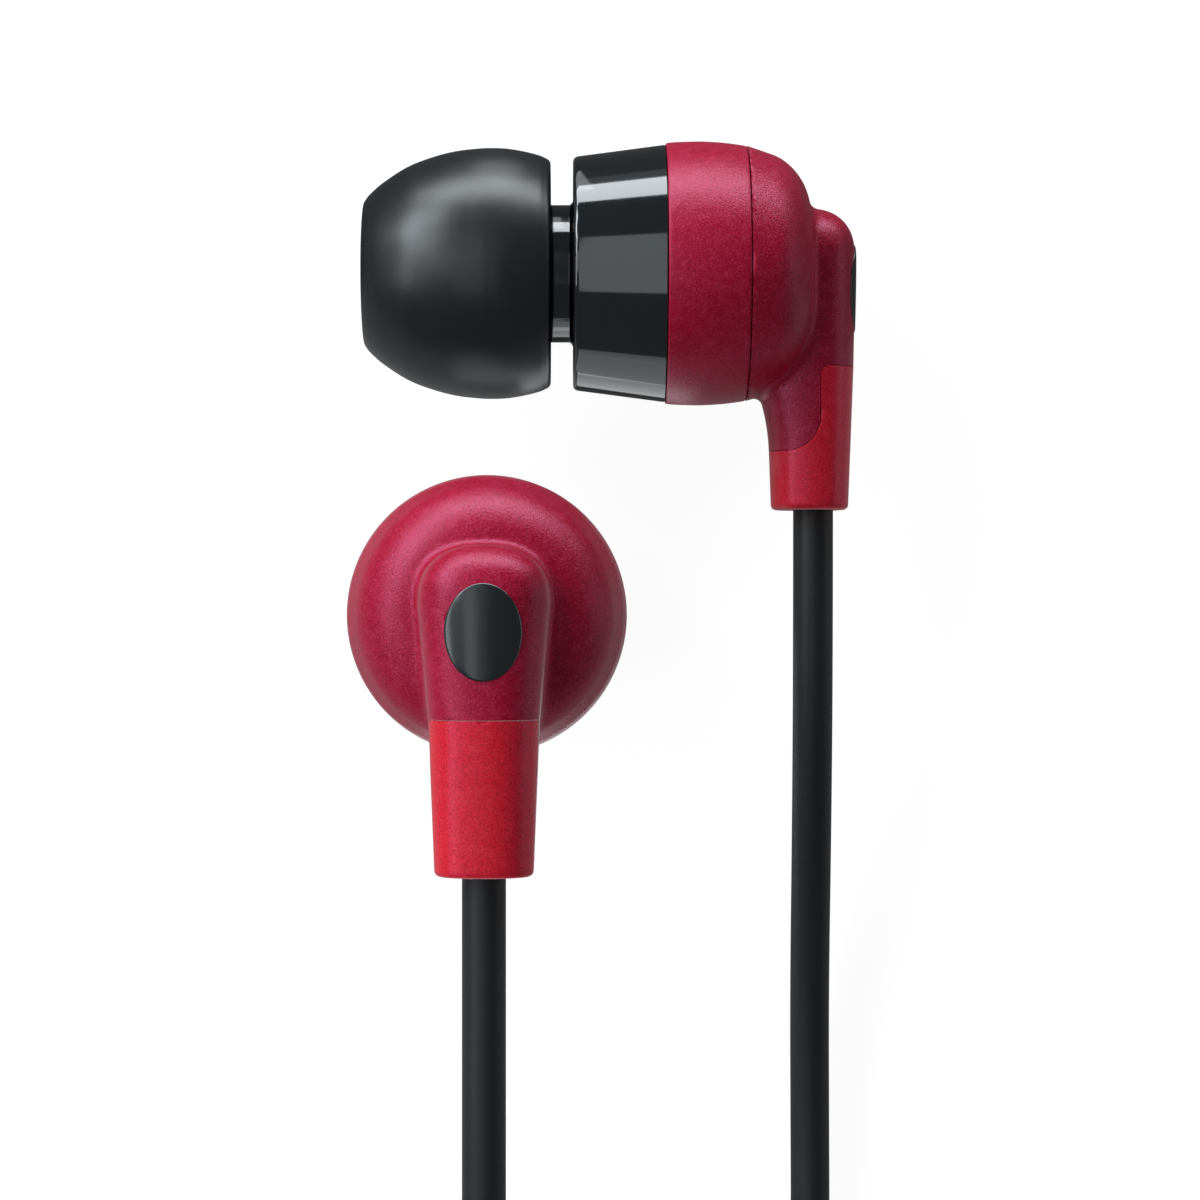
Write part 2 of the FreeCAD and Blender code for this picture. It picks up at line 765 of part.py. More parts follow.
def make_lead_wires(name):
    """Two thin wires from the knot forward to the terminal board."""
    board_back = YOKE_FLOOR.value + size("yoke_floor").value + 0.05 + size("board_thickness").value
    knot = size("knot_height").value
    front_of_knot = CABLE.value - BRANCH.value * 0.6
    radius = size("wire_radius").value
    wires = []
    for side in (-1, 1):
        points = [
            Vector(side * 0.45, knot, front_of_knot), Vector(side * 0.5, knot - 0.1, front_of_knot - 1.2),
            Vector(side * 1.2, knot, front_of_knot - 3.2), Vector(side * 1.2, knot, board_back),
        ]
        edges, _ = rounded_path(points)
        ring = Part.Wire([Part.makeCircle(radius, points[0], points[1] - points[0])])
        wires.append(Part.Wire(edges).makePipeShell([ring], True, False))
    result = document.addObject("Part::Feature", name)
    result.Shape = Part.Compound(wires)
    return result


BUD_PIECES = {
    "ear_tip": make_ear_tip,
    "front_housing": make_front_housing,
    "nozzle_mesh": make_nozzle_mesh,
    "middle_shell": make_middle_shell,
    "rear_cover": make_covered,
    "badge": make_badge,
    "boot": make_boot,
    "driver_frame": make_driver_frame,
    "driver_yoke": make_yoke,
    "driver_magnet": make_magnet,
    "driver_top_plate": make_top_plate,
    "driver_diaphragm": make_diaphragm,
    "driver_voice_coil": make_voice_coil,
    "driver_terminal_board": make_terminal_board,
    "cable_end": make_cable_end,
    "lead_wires": make_lead_wires,
}

RIGHT_AXIS_HEIGHT = size("ring_back_radius") + size("shell_crown") + 0.01
BUDS = {
    "right": (
        (size("right_bud_x"), size("right_bud_y"), RIGHT_AXIS_HEIGHT),
        FreeCAD.Rotation(Vector(0, 1, 0), 90),
    ),
    "left": ((size("left_bud_x"), size("left_bud_y"), 0), FreeCAD.Rotation()),
}


def make_buds():
    for side, (position, turn) in BUDS.items():
        for piece, make in BUD_PIECES.items():
            made = make(f"{side}_{piece}")
            place(made, position, turn)
            nodes[f"{side}_{piece}"] = made


# Coils: turns that spiral in and out again, layer on layer


class Winding:
    """Half turns about a centre. start is the angle of the first point, and the cord goes anticlockwise
    seen from above. Each half turn moves in or out by half a pitch, and the half turn where the spiral
    reverses climbs a layer."""

    def __init__(self, x, y, low, start, middle, diameter, gap, turns, layers, upward=True):
        self.centre = Vector(x, y, 0)
        self.diameter = diameter
        self.pitch = diameter + gap
        self.out = Vector(math.cos(start), math.sin(start), 0)
        self.heading = Vector(-math.sin(start), math.cos(start), 0)
        self.halves = 2 * turns * layers
        self.outer = middle + self.pitch * (2 * turns - 1) / 4
        self.points = []
        for index in range(self.halves + 1):
            layer, step = divmod(index, 2 * turns)
            step = 2 * turns - 1 - step if layer % 2 else step
            if index == self.halves:
                layer, step = layers - 1, -1
            level = layer if upward else layers - 1 - layer
            radius = self.outer - self.pitch * step / 2
            height = Vector(0, 0, low + self.pitch * level)
            self.points.append(self.centre + self.out * (radius if index % 2 == 0 else -radius) + height)

    def edges(self, extra_quarter=False):
        """The half turns with a straight lead of one diameter at each end."""
        lead = self.heading * self.diameter
        first = self.points[0]
        made = [Part.makeLine(first - lead, first)]
        for index, (start, finish) in enumerate(zip(self.points, self.points[1:])):
            side = self.heading if index % 2 == 0 else -self.heading
            top = (start + finish) * 0.5 + side * (start.distanceToPoint(finish) / 2)
            made.append(Part.Arc(start, top, finish).toShape())
        last = self.points[-1]
        heading = self.heading
        if extra_quarter:
            radius = last.distanceToPoint(Vector(self.centre.x, self.centre.y, last.z)) + self.pitch / 4
            middle = last - self.out * radius
            finish = middle + self.heading * radius
            top = middle + (self.out + self.heading) * (radius * math.sqrt(0.5))
            made.append(Part.Arc(last, top, finish).toShape())
            last = finish
            heading = -self.out
        made.append(Part.makeLine(last, last + heading * self.diameter))
        return made


def least_gap(edges, diameter):
    """The least distance between turns, less the diameter, measured on points along the tube."""
    step = 0.5
    points = []
    for edge in edges:
        points += edge.discretize(max(2, round(edge.Length / step)))[:-1]
    skip = round(4 * diameter / step)
    nearest = min(
        point.distanceToPoint(other)
        for index, point in enumerate(points)
        for other in points[index + skip:]
    )
    return nearest - diameter


def make_coil(name, winding, extra_quarter=False):
    edges = winding.edges(extra_quarter)
    gap = least_gap(edges, winding.diameter)
    print(f"{name}: {winding.halves / 2:g} turns, least gap to itself {gap:.2f} mm")
    if gap < 0.4:
        raise ValueError(f"{name} touches itself")
    first, last = edges[0], edges[-1]
    ends = first.valueAt(first.FirstParameter), last.valueAt(last.LastParameter)
    return tube(name, edges, winding.diameter / 2), ends


def number(alias):
    return SIZES[alias]


BRANCH_LOW = number("tie_thickness") + number("tie_fit") + number("branch_diameter") / 2
BRANCH_PITCH = number("branch_diameter") + number("branch_coil_gap")
LEFT_LOW = BRANCH_LOW + BRANCH_PITCH + number("branch_diameter") + 0.45
MAIN_LOW = number("tie_thickness") + number("tie_fit") + number("main_diameter") / 2
MAIN_PITCH = number("main_diameter") + number("main_coil_gap")

right_winding = Winding(
    number("coil_x"), number("branch_coil_y"), BRANCH_LOW, math.radians(90), number("right_coil_radius"),
    number("branch_diameter"), number("branch_coil_gap"), turns=2, layers=2)
left_winding = Winding(
    number("coil_x"), number("branch_coil_y"), LEFT_LOW, math.radians(180), number("left_coil_radius"),
    number("branch_diameter"), number("branch_coil_gap"), turns=2, layers=2, upward=False)
main_winding = Winding(
    number("coil_x"), number("main_coil_y"), MAIN_LOW, math.radians(180), number("main_coil_radius"),
    number("main_diameter"), number("main_coil_gap"), turns=3, layers=4)


def make_cords():
    """The free stretches and the coils of the two branches and the main cord."""
    branch = number("branch_diameter") / 2
    main = number("main_diameter") / 2
    bud_drop = number("boot_bottom")
    right_exit = (
        number("right_bud_x") + number("cable_depth"), number("right_bud_y") - bud_drop,
        RIGHT_AXIS_HEIGHT.value)
    left_exit = (number("left_bud_x"), number("left_bud_y") - bud_drop, number("cable_depth"))
    nodes["right_branch_coil"], right_ends = make_coil("right_branch_coil", right_winding, True)
    nodes["left_branch_coil"], left_ends = make_coil("left_branch_coil", left_winding)
    nodes["main_cord_coil"], main_ends = make_coil("main_cord_coil", main_winding)

    nodes["right_branch_upper"] = free_stretch("right_branch_upper", [
        right_exit, (right_exit[0], -8.2, right_exit[2]), (10.31, -16.8, 4.8), (10.38, -25.2, 2.2),
        (10.47, -32.0, 1.25), (10.5, -38.4, 1.2), (10.3, -43.9, 1.2), (5.9, right_ends[0].y, right_ends[0].z),
        right_ends[0],
    ], branch)
    nodes["left_branch_upper"] = free_stretch("left_branch_upper", [
        left_exit, (left_exit[0], -31.5, left_exit[2]), (-5.82, -37.5, 22.1), (-7.5, -42.9, 19.4),
        (-11.1, -46.7, 15.2), (-14.7, -50.1, 11.6), (left_ends[0].x, -54.6, left_ends[0].z), left_ends[0],
    ], branch)

    inlet_z = number("junction_height") / 2
    inlet_y = number("junction_y")
    spread = number("inlet_spacing") / 2
    right_inlet = Vector(number("junction_x") + spread, inlet_y, inlet_z)
    left_inlet = Vector(number("junction_x") - spread, inlet_y, inlet_z)
    nodes["right_branch_lower"] = free_stretch("right_branch_lower", [
        right_ends[1], (right_ends[1].x, -66.6, right_ends[1].z), (right_inlet.x, -70.6, right_inlet.z),
        right_inlet,
    ], branch)
    nodes["left_branch_lower"] = free_stretch("left_branch_lower", [
        left_ends[1], (left_ends[1].x, -67.7, left_ends[1].z), (left_inlet.x, -73.4, left_inlet.z), left_inlet,
    ], branch)

    whole_junction = number("junction_length") + 2 * number("relief_length")
    outlet = Vector(number("junction_x"), inlet_y - whole_junction, inlet_z)
    nodes["main_cord_upper"] = free_stretch("main_cord_upper", [
        outlet, (outlet.x, outlet.y - 3.0, outlet.z), (main_ends[0].x, main_ends[0].y + 3.0, main_ends[0].z),
        main_ends[0],
    ], main)
    nodes["main_cord_lower"] = free_stretch("main_cord_lower", [
        main_ends[1], (main_ends[1].x, -121.8, main_ends[1].z), (-14.3, -126.9, 13.0), (-7.6, -127.1, 15.2),
        (number("coil_x"), -122.2, PLUG_HEIGHT.value), (number("coil_x"), PLUG_START.value, PLUG_HEIGHT.value),
    ], main)


# Ties, the junction with its button, and the plug

MAIN_COIL_TOP = (
    size("tie_thickness") + size("tie_fit") + size("main_diameter")
    + (size("main_diameter") + size("main_coil_gap")) * 3)
PLUG_HEIGHT = MAIN_COIL_TOP + size("plug_lift") + size("grip_radius")
PLUG_START = size("main_coil_y") - size("main_diameter")


def make_tie(name, y, angle, inner, outer, top):
    """A soft band round the bundle of turns at one place."""
    fit = size("tie_fit")
    thick = size("tie_thickness")
    body = new_body(name)
    bow = size("tie_width") * size("tie_width") / 8 / inner
    low, high = inner - fit - bow, outer + fit

    def draw(sketch):
        draw_outline(sketch, rounded(low - thick, high + thick, 0, top + fit + thick, as_size(1.2)))
        draw_outline(sketch, rounded(low, high, thick, top + fit, as_size(0.7)))

    raised(body, name + "_band", draw, size("tie_width"), "XZ_Plane", both=True)
    place(body, (size("coil_x"), y, 0), FreeCAD.Rotation(Vector(0, 0, 1), angle))
    return body


def make_ties():
    branch = size("branch_diameter")
    branch_pitch = branch + size("branch_coil_gap")
    branch_inner = size("right_coil_radius") - branch_pitch * 0.75 - branch / 2
    branch_outer = size("left_coil_radius") + branch_pitch * 0.75 + branch / 2
    branch_top = size("tie_thickness") + size("tie_fit") + branch_pitch * 2 + branch * 2 + 0.45
    main = size("main_diameter")
    main_pitch = main + size("main_coil_gap")
    main_inner = size("main_coil_radius") - main_pitch * 1.25 - main / 2
    main_outer = size("main_coil_radius") + main_pitch * 1.75 + main / 2
    for index, angle in enumerate((0, 270), 1):
        name = f"branch_tie_{index}"
        nodes[name] = make_tie(name, size("branch_coil_y"), angle, branch_inner, branch_outer, branch_top)
    for index, angle in enumerate((0, 180), 1):
        name = f"main_tie_{index}"
        nodes[name] = make_tie(name, size("main_coil_y"), angle, main_inner, main_outer, MAIN_COIL_TOP)


JUNCTION_HALF = size("junction_width") / 2
JUNCTION_MIDDLE = size("junction_height") / 2
JUNCTION_NEAR = -size("relief_length")
JUNCTION_FAR = JUNCTION_NEAR - size("junction_length")
BUTTON_CENTRE = JUNCTION_NEAR - size("junction_length") * 0.5
BUTTON_SEAT = size("junction_height") - size("junction_wall")


def round_edges(body, name, radius, chosen):
    """Rounds the edges of the body's last feature that chosen says yes to."""
    document.recompute()
    base = body.Tip
    names = [f"Edge{index}" for index, edge in enumerate(base.Shape.Edges, 1) if chosen(edge)]
    fillet = body.newObject("PartDesign::Fillet", name)
    fillet.Base = (base, names)
    bind(fillet, "Radius", radius)
    return fillet


def level_with(height):
    """Whether an edge lies flat at that height."""
    def chosen(edge):
        box = edge.BoundBox
        return abs(box.ZMin - height) < 1e-4 and abs(box.ZMax - height) < 1e-4
    return chosen


def junction_outline(inset):
    corner = size("junction_corner") - inset
    return rounded(-JUNCTION_HALF + inset, JUNCTION_HALF - inset, JUNCTION_FAR + inset,
                   JUNCTION_NEAR - inset, corner)


def cut_shell(body, name, low, high, ends_low, ends_high):
    """Hollows a half shell between two heights, and opens its ends for the reliefs' necks."""
    raised(body, name + "_hollow", lambda sketch: draw_outline(sketch, junction_outline(size("junction_wall"))),
           high - low, "XY_Plane", low, "PartDesign::Pocket", back=True)
    neck = size("relief_neck") - 0.05
    wall = size("junction_wall") + 0.2
    for end, half, near in (
            ("inlet", size("inlet_half_width") - neck, JUNCTION_NEAR + 0.1),
            ("outlet", size("outlet_half_width") - neck, JUNCTION_FAR + wall - 0.1)):
        raised(body, f"{name}_{end}",
               lambda sketch, half=half, near=near: draw_outline(
                   sketch, rectangle(-half, half, near - wall, near)),
               ends_high - ends_low, "XY_Plane", ends_low, "PartDesign::Pocket", back=True)


def make_front_shell(name):
    low = JUNCTION_MIDDLE + size("junction_seam") / 2
    top = size("junction_height")
    neck = (size("relief_height") - 2 * size("relief_neck")) / 2 + 0.05
    body = new_body(name)
    raised(body, name + "_form", lambda sketch: draw_outline(sketch, junction_outline(as_size(0))),
           top - low, "XY_Plane", low)
    round_edges(body, name + "_edge", size("junction_edge_round"), level_with(top.value))
    cut_shell(body, name, low - 0.1, BUTTON_SEAT, low - 0.1, JUNCTION_MIDDLE + neck)
    half = size("button_width") / 2 + size("button_fit")
    reach = size("button_length") / 2 + size("button_fit")
    raised(body, name + "_window",
           lambda sketch: draw_outline(sketch, rounded(
               -half, half, BUTTON_CENTRE - reach, BUTTON_CENTRE + reach, half - 0.15)),
           size("junction_wall") + 1, "XY_Plane", BUTTON_SEAT - 0.5, "PartDesign::Pocket", back=True)
    return body


def make_back_shell(name):
    high = JUNCTION_MIDDLE - size("junction_seam") / 2
    neck = (size("relief_height") - 2 * size("relief_neck")) / 2 + 0.05
    body = new_body(name)
    raised(body, name + "_form", lambda sketch: draw_outline(sketch, junction_outline(as_size(0))), high)
    round_edges(body, name + "_edge", size("junction_edge_round") * 0.75, level_with(0))
    cut_shell(body, name, size("junction_wall"), high + 0.1, JUNCTION_MIDDLE - neck, high + 0.1)
    raised(body, name + "_microphone_hole",
           lambda sketch: draw_circle(sketch, 0, CAPSULE_CENTRE, size("microphone_hole")),
           size("junction_wall") + 1, "XY_Plane", -0.5, "PartDesign::Pocket", back=True)
    return body


CIRCUIT_TOP = BUTTON_SEAT - 0.05 - size("button_flange") - size("button_travel") - 0.05 - 0.7 - size(
    "switch_height")
CAPSULE_CENTRE = BUTTON_CENTRE + size("circuit_length") / 2 - size("capsule_radius") - 0.5


def make_button(name):
    """A rounded key with a flange under the front shell that keeps it in."""
    half = size("button_width") / 2
    reach = size("button_length") / 2
    flange = size("button_flange")
    top = size("junction_height") + size("button_proud")
    seat = BUTTON_SEAT - 0.05
    body = new_body(name)
    raised(body, name + "_key",
           lambda sketch: draw_outline(sketch, rounded(
               -half, half, BUTTON_CENTRE - reach, BUTTON_CENTRE + reach, half - 0.15)),
           top - seat, "XY_Plane", seat)
    round_edges(body, name + "_edge", 0.3, level_with(top.value))
    side = half + flange * 0.8
    raised(body, name + "_flange",
           lambda sketch: draw_outline(sketch, rectangle(
               -side, side, BUTTON_CENTRE - reach - flange, BUTTON_CENTRE + reach + flange)),
           flange, "XY_Plane", seat - flange)
    return body


def make_circuit(name):
    half = size("circuit_width") / 2
    reach = size("circuit_length") / 2
    body = new_body(name)
    raised(body, name + "_form",
           lambda sketch: draw_outline(sketch, rectangle(
               -half, half, BUTTON_CENTRE - reach, BUTTON_CENTRE + reach)),
           size("circuit_thickness"), "XY_Plane", CIRCUIT_TOP - size("circuit_thickness"))
    return body


def make_switch(name):
    half = size("switch_side") / 2
    body = new_body(name)
    raised(body, name + "_case",
           lambda sketch: draw_outline(sketch, rectangle(
               -half, half, BUTTON_CENTRE - half, BUTTON_CENTRE + half)),
           size("switch_height"), "XY_Plane", CIRCUIT_TOP)
    raised(body, name + "_plunger",
           lambda sketch: draw_circle(sketch, 0, BUTTON_CENTRE, half * 0.5),
           as_size(0.7), "XY_Plane", CIRCUIT_TOP + size("switch_height"))
    return body


def make_capsule(name):
    return cylinder(name, size("capsule_radius"), size("capsule_height"),
                    (0, CAPSULE_CENTRE, CIRCUIT_TOP - size("circuit_thickness") - size("capsule_height")))


def make_relief(name, half, near, inward):
    """A soft collar where cords enter the junction, with a neck through the shells' end wall."""
    tall = size("relief_height") / 2
    collar = near - inward * size("relief_length")
    neck = size("relief_neck")
    body = new_body(name)
    low, high = (collar, near) if inward > 0 else (near, collar)
    raised(body, name + "_collar",
           lambda sketch: draw_outline(sketch, rounded(
               -half, half, JUNCTION_MIDDLE - tall, JUNCTION_MIDDLE + tall, tall - 0.5)),
           high - low, "XZ_Plane", -high)
    deep = size("junction_wall")
    start = near if inward > 0 else near - deep
    raised(body, name + "_neck",
           lambda sketch: draw_outline(sketch, rectangle(
               -half + neck, half - neck, JUNCTION_MIDDLE - tall + neck, JUNCTION_MIDDLE + tall - neck)),
           deep, "XZ_Plane", -start - deep)
    return body


def make_junction():
    pieces = {
        "junction_front_shell": make_front_shell("junction_front_shell"),
        "junction_back_shell": make_back_shell("junction_back_shell"),
        "junction_button": make_button("junction_button"),
        "junction_circuit": make_circuit("junction_circuit"),
        "junction_switch": make_switch("junction_switch"),
        "junction_microphone": make_capsule("junction_microphone"),
        "junction_inlet_relief": make_relief(
            "junction_inlet_relief", size("inlet_half_width"), JUNCTION_NEAR, -1),
        "junction_outlet_relief": make_relief(
            "junction_outlet_relief", size("outlet_half_width"), JUNCTION_FAR, 1),
    }
    for name, piece in pieces.items():
        if name == "junction_microphone":
            place(piece, (size("junction_x"), size("junction_y") + CAPSULE_CENTRE,
                          CIRCUIT_TOP - size("circuit_thickness") - size("capsule_height")))
        else:
            place(piece, (size("junction_x"), size("junction_y"), 0))
        nodes[name] = piece


GRIP_START = size("plug_relief_length")
GRIP_END = GRIP_START + size("grip_length")
GRIP_BORE_DEPTH = 2
COLLARS = [
    GRIP_END + size("plug_sleeve_length"),
    GRIP_END + size("plug_sleeve_length") + size("plug_insulator_length") + size("plug_ring_length"),
    GRIP_END + size("plug_sleeve_length") + 2 * size("plug_insulator_length") + 2 * size("plug_ring_length"),
]
TIP_START = COLLARS[2] + size("plug_insulator_length")


def turned_along(name, path):
    """A plug piece turned about the plug's own axis, which is the sketch's upright axis."""
    body = new_body(name)
    turned(body, name + "_form", path, role="XY_Plane")
    return body


def make_plug():
    pin = size("plug_radius")
    shank = pin + size("plug_collar")
    bore = size("plug_bore")
    rod = size("plug_rod")
    relief = size("plug_relief_radius")
    root = size("plug_relief_end_radius")
    grip = size("grip_radius")
    collar = size("plug_insulator_length")
    insulator = [(rod, GRIP_END - GRIP_BORE_DEPTH), (bore, GRIP_END - GRIP_BORE_DEPTH)]
    for start in COLLARS:
        insulator += [(bore, start), (pin, start), (pin, start + collar)]
        if start is not COLLARS[2]:
            insulator.append((bore, start + collar))
    insulator.append((rod, TIP_START))
    pieces = {
        "plug_relief": [
            (0, 0), (relief, 0), (relief, 0.8), (root, GRIP_START), (root, GRIP_START + GRIP_BORE_DEPTH),
            (0, GRIP_START + GRIP_BORE_DEPTH),
        ],
        "plug_grip": [
            (0, GRIP_START + GRIP_BORE_DEPTH), (root, GRIP_START + GRIP_BORE_DEPTH), (root, GRIP_START),
            (grip - 0.7, GRIP_START), ("via", grip - 0.2, GRIP_START + 0.2), (grip, GRIP_START + 0.7),
            (grip, GRIP_END - 0.5), ("via", grip - 0.15, GRIP_END - 0.15), (grip - 0.5, GRIP_END),
            (shank, GRIP_END), (shank, GRIP_END - GRIP_BORE_DEPTH), (0, GRIP_END - GRIP_BORE_DEPTH),
        ],
        "plug_sleeve": [
            (bore, GRIP_END - GRIP_BORE_DEPTH), (shank, GRIP_END - GRIP_BORE_DEPTH), (shank, GRIP_END),
            (pin, GRIP_END), (pin, COLLARS[0]), (bore, COLLARS[0]),
        ],
        "plug_ring_1": rectangle(bore, pin, COLLARS[0] + collar, COLLARS[1]),
        "plug_ring_2": rectangle(bore, pin, COLLARS[1] + collar, COLLARS[2]),
        "plug_insulator": insulator,
        "plug_tip": [
            (0, GRIP_END - GRIP_BORE_DEPTH), (rod, GRIP_END - GRIP_BORE_DEPTH), (rod, TIP_START),
            (pin, TIP_START), (pin, TIP_START + 0.5), ("via", pin - 0.42, TIP_START + 1.25),
            (pin - 0.2, TIP_START + 2.0), ("via", pin - 0.5, TIP_START + 2.75),
            (pin - 1.1, TIP_START + size("plug_tip_length")), (0, TIP_START + size("plug_tip_length")),
        ],
    }
    for name, path in pieces.items():
        nodes[name] = turned_along(name, path)
        place(nodes[name], (size("coil_x"), PLUG_START, PLUG_HEIGHT))


def check_and_write():
    """Refuses a failed object or a bad shape, then writes each piece to its own file."""
    document.recompute()
    failed = [thing.Label for thing in document.Objects if {"Invalid", "Error"} & set(thing.State)]
    if failed:
        raise ValueError(f"failed: {', '.join(failed)}")
    for thing in document.Objects:
        if thing.TypeId in ("PartDesign::Pocket", "PartDesign::Groove"):
            if thing.Shape.Volume > thing.BaseFeature.Shape.Volume - 0.01:
                raise ValueError(f"{thing.Label} cuts nothing")
    for name, piece in nodes.items():
        if piece.Shape.isNull() or not piece.Shape.isValid() or piece.Shape.Volume <= 0:
            raise ValueError(f"{name} has no good shape")
    os.makedirs("parts", exist_ok=True)
    for name, piece in nodes.items():
        piece.Label = name
        piece.Shape.exportStep(f"parts/{name}.step")
    print(f"{len(nodes)} pieces")


make_buds()
make_cords()
make_ties()
make_junction()
make_plug()
check_and_write()
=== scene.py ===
"""Looks of the wired in-ear earphones, in metres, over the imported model.

A bud is shaped in its own frame, in millimetres: the nozzle axis is Z, the ear tip's front is z = 0, the boss
is at the back, and the stem points to -Y. The right bud lies on its side, and the left bud stands on its tip.
"""
import itertools
import json
import math
import bmesh
import bpy
import numpy as np
from mathutils import Matrix, Vector

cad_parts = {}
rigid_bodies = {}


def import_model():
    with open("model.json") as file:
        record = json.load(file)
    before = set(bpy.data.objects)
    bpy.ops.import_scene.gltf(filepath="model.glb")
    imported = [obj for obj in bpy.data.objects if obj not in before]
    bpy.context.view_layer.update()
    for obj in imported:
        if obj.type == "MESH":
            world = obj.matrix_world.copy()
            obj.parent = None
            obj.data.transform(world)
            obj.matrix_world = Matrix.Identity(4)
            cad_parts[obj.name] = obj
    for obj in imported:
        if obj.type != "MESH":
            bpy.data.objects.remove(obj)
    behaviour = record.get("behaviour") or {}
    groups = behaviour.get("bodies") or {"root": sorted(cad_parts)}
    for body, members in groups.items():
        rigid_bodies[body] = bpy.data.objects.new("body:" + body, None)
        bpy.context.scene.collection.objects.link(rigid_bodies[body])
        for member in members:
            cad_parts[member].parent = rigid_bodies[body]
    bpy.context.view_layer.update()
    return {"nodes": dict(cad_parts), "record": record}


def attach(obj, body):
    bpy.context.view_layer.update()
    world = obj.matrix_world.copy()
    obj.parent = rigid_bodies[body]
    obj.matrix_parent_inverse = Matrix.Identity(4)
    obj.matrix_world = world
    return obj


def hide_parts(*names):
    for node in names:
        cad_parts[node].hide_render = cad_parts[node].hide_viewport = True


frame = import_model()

MM = 0.001
scene = bpy.context.scene
nodes = frame["nodes"]

# Camera: straight down on the table, as far off as the photograph's

PICTURE_CENTRE = (-0.4, -5.2)
CAMERA_X = -2.0
BUD_PLANE = 6.55
VIEW_WIDTH = 60
VIEW_DISTANCE = 168
SENSOR_WIDTH = 36


def make_camera():
    data = bpy.data.cameras.new("camera")
    data.sensor_width = SENSOR_WIDTH
    data.lens = SENSOR_WIDTH * VIEW_DISTANCE / VIEW_WIDTH
    data.shift_x = (PICTURE_CENTRE[0] - CAMERA_X) / VIEW_WIDTH
    data.clip_start = 0.01
    data.clip_end = 10
    camera = bpy.data.objects.new("camera", data)
    camera.location = Vector((CAMERA_X, PICTURE_CENTRE[1], BUD_PLANE + VIEW_DISTANCE)) * MM
    scene.collection.objects.link(camera)
    scene.camera = camera


make_camera()

# Cords: the routes' points in millimetres, and the coils' turns

BRANCH = 2.0
MAIN = 2.2
BRANCH_PITCH = BRANCH + 0.92
MAIN_PITCH = MAIN + 1.0
TURN_POINTS = 12
SPREAD = 1 / math.cos(math.pi / TURN_POINTS)


def coil_points(centre, low, start, middle, pitch, turns, layers, upward=True, quarter=False):
    """Control points of turns that spiral in and out, layer on layer, anticlockwise from the start angle.

    Each half turn moves in or out by half a pitch. A layer is climbed in the half turn where the spiral
    reverses.
    """
    centre = Vector((*centre, 0))
    halves = 2 * turns * layers
    outer = middle + pitch * (2 * turns - 1) / 4
    out = Vector((math.cos(start), math.sin(start), 0))
    heading = Vector((-math.sin(start), math.cos(start), 0))
    ends = []
    for index in range(halves + 1):
        layer, step = divmod(index, 2 * turns)
        step = 2 * turns - 1 - step if layer % 2 else step
        if index == halves:
            layer, step = layers - 1, -1
        level = layer if upward else layers - 1 - layer
        reach = (outer - pitch * step / 2) * (1 if index % 2 == 0 else -1)
        ends.append(centre + out * reach + Vector((0, 0, low + pitch * level)))
    points = []
    for index, (first, last) in enumerate(zip(ends, ends[1:])):
        middle_point = (first + last) / 2
        arm = (first - last) / 2 * SPREAD
        side = heading * (arm.length if index % 2 == 0 else -arm.length)
        for step in range(TURN_POINTS // 2):
            angle = 2 * math.pi * (step + 0.5) / TURN_POINTS
            points.append(middle_point + arm * math.cos(angle) + side * math.sin(angle))
    if quarter:
        last = ends[-1]
        radius = (last - centre).xy.length + pitch / 4
        middle_point = last - out * radius
        for step in range(TURN_POINTS // 4):
            angle = 2 * math.pi * (step + 0.5) / TURN_POINTS
            arm = out * math.cos(angle) + heading * math.sin(angle)
            points.append(middle_point + arm * radius * SPREAD)
    return points


def make_cord(name, points, diameter):
    """A round cord on one smooth curve through the route's points."""
    data = bpy.data.curves.new(name, "CURVE")
    data.dimensions = "3D"
    data.bevel_depth = diameter / 2 * MM
    data.bevel_resolution = 8
    data.resolution_u = 8
    data.use_fill_caps = True
    spline = data.splines.new("NURBS")
    spline.points.add(len(points) - 1)
    for control, point in zip(spline.points, points):
        control.co = (*(Vector(point) * MM), 1)
    spline.order_u = 3
    spline.use_endpoint_u = True
    cord = bpy.data.objects.new(name, data)
    scene.collection.objects.link(cord)
    return cord


COIL_X = -2.75
BRANCH_COIL = (COIL_X, -61.0)
MAIN_COIL = (COIL_X, -113.2)
RIGHT_EXIT = (10.25, -0.7, 6.58)
LEFT_EXIT = (-5.8, -17.7, 22.6)
INLETS = ((-16.2, -77.7, 3.1), (-18.8, -77.7, 3.1))
OUTLET = (-17.5, -101.7, 3.1)
PLUG_START = (COIL_X, -115.4, 16.12)

right_cord = make_cord("right_branch_cord", [
    RIGHT_EXIT, (10.25, -8.2, 6.58), (10.31, -16.8, 4.8), (10.38, -25.2, 2.2), (10.47, -32.0, 1.25),
    (10.5, -38.4, 1.2), (10.3, -43.9, 1.2), (5.9, -48.36, 1.62), (-0.75, -48.36, 1.62),
    *coil_points(BRANCH_COIL, 1.62, math.radians(90), 10.45, BRANCH_PITCH, 2, 2, quarter=True),
    (-17.58, -63.73, 4.54), (-17.58, -66.6, 4.54), (-16.2, -70.6, 3.1), INLETS[0],
], BRANCH)
left_cord = make_cord("left_branch_cord", [
    LEFT_EXIT, (-5.8, -31.5, 22.6), (-5.82, -37.5, 22.1), (-7.5, -42.9, 19.4), (-11.1, -46.7, 15.2),
    (-14.7, -50.1, 11.6), (-16.44, -54.6, 9.91), (-16.44, -59.0, 9.91),
    *coil_points(BRANCH_COIL, 6.99, math.radians(180), 11.5, BRANCH_PITCH, 2, 2, upward=False),
    (-17.9, -63.0, 6.99), (-17.9, -67.7, 6.99), (-18.8, -73.4, 3.1), INLETS[1],
], BRANCH)
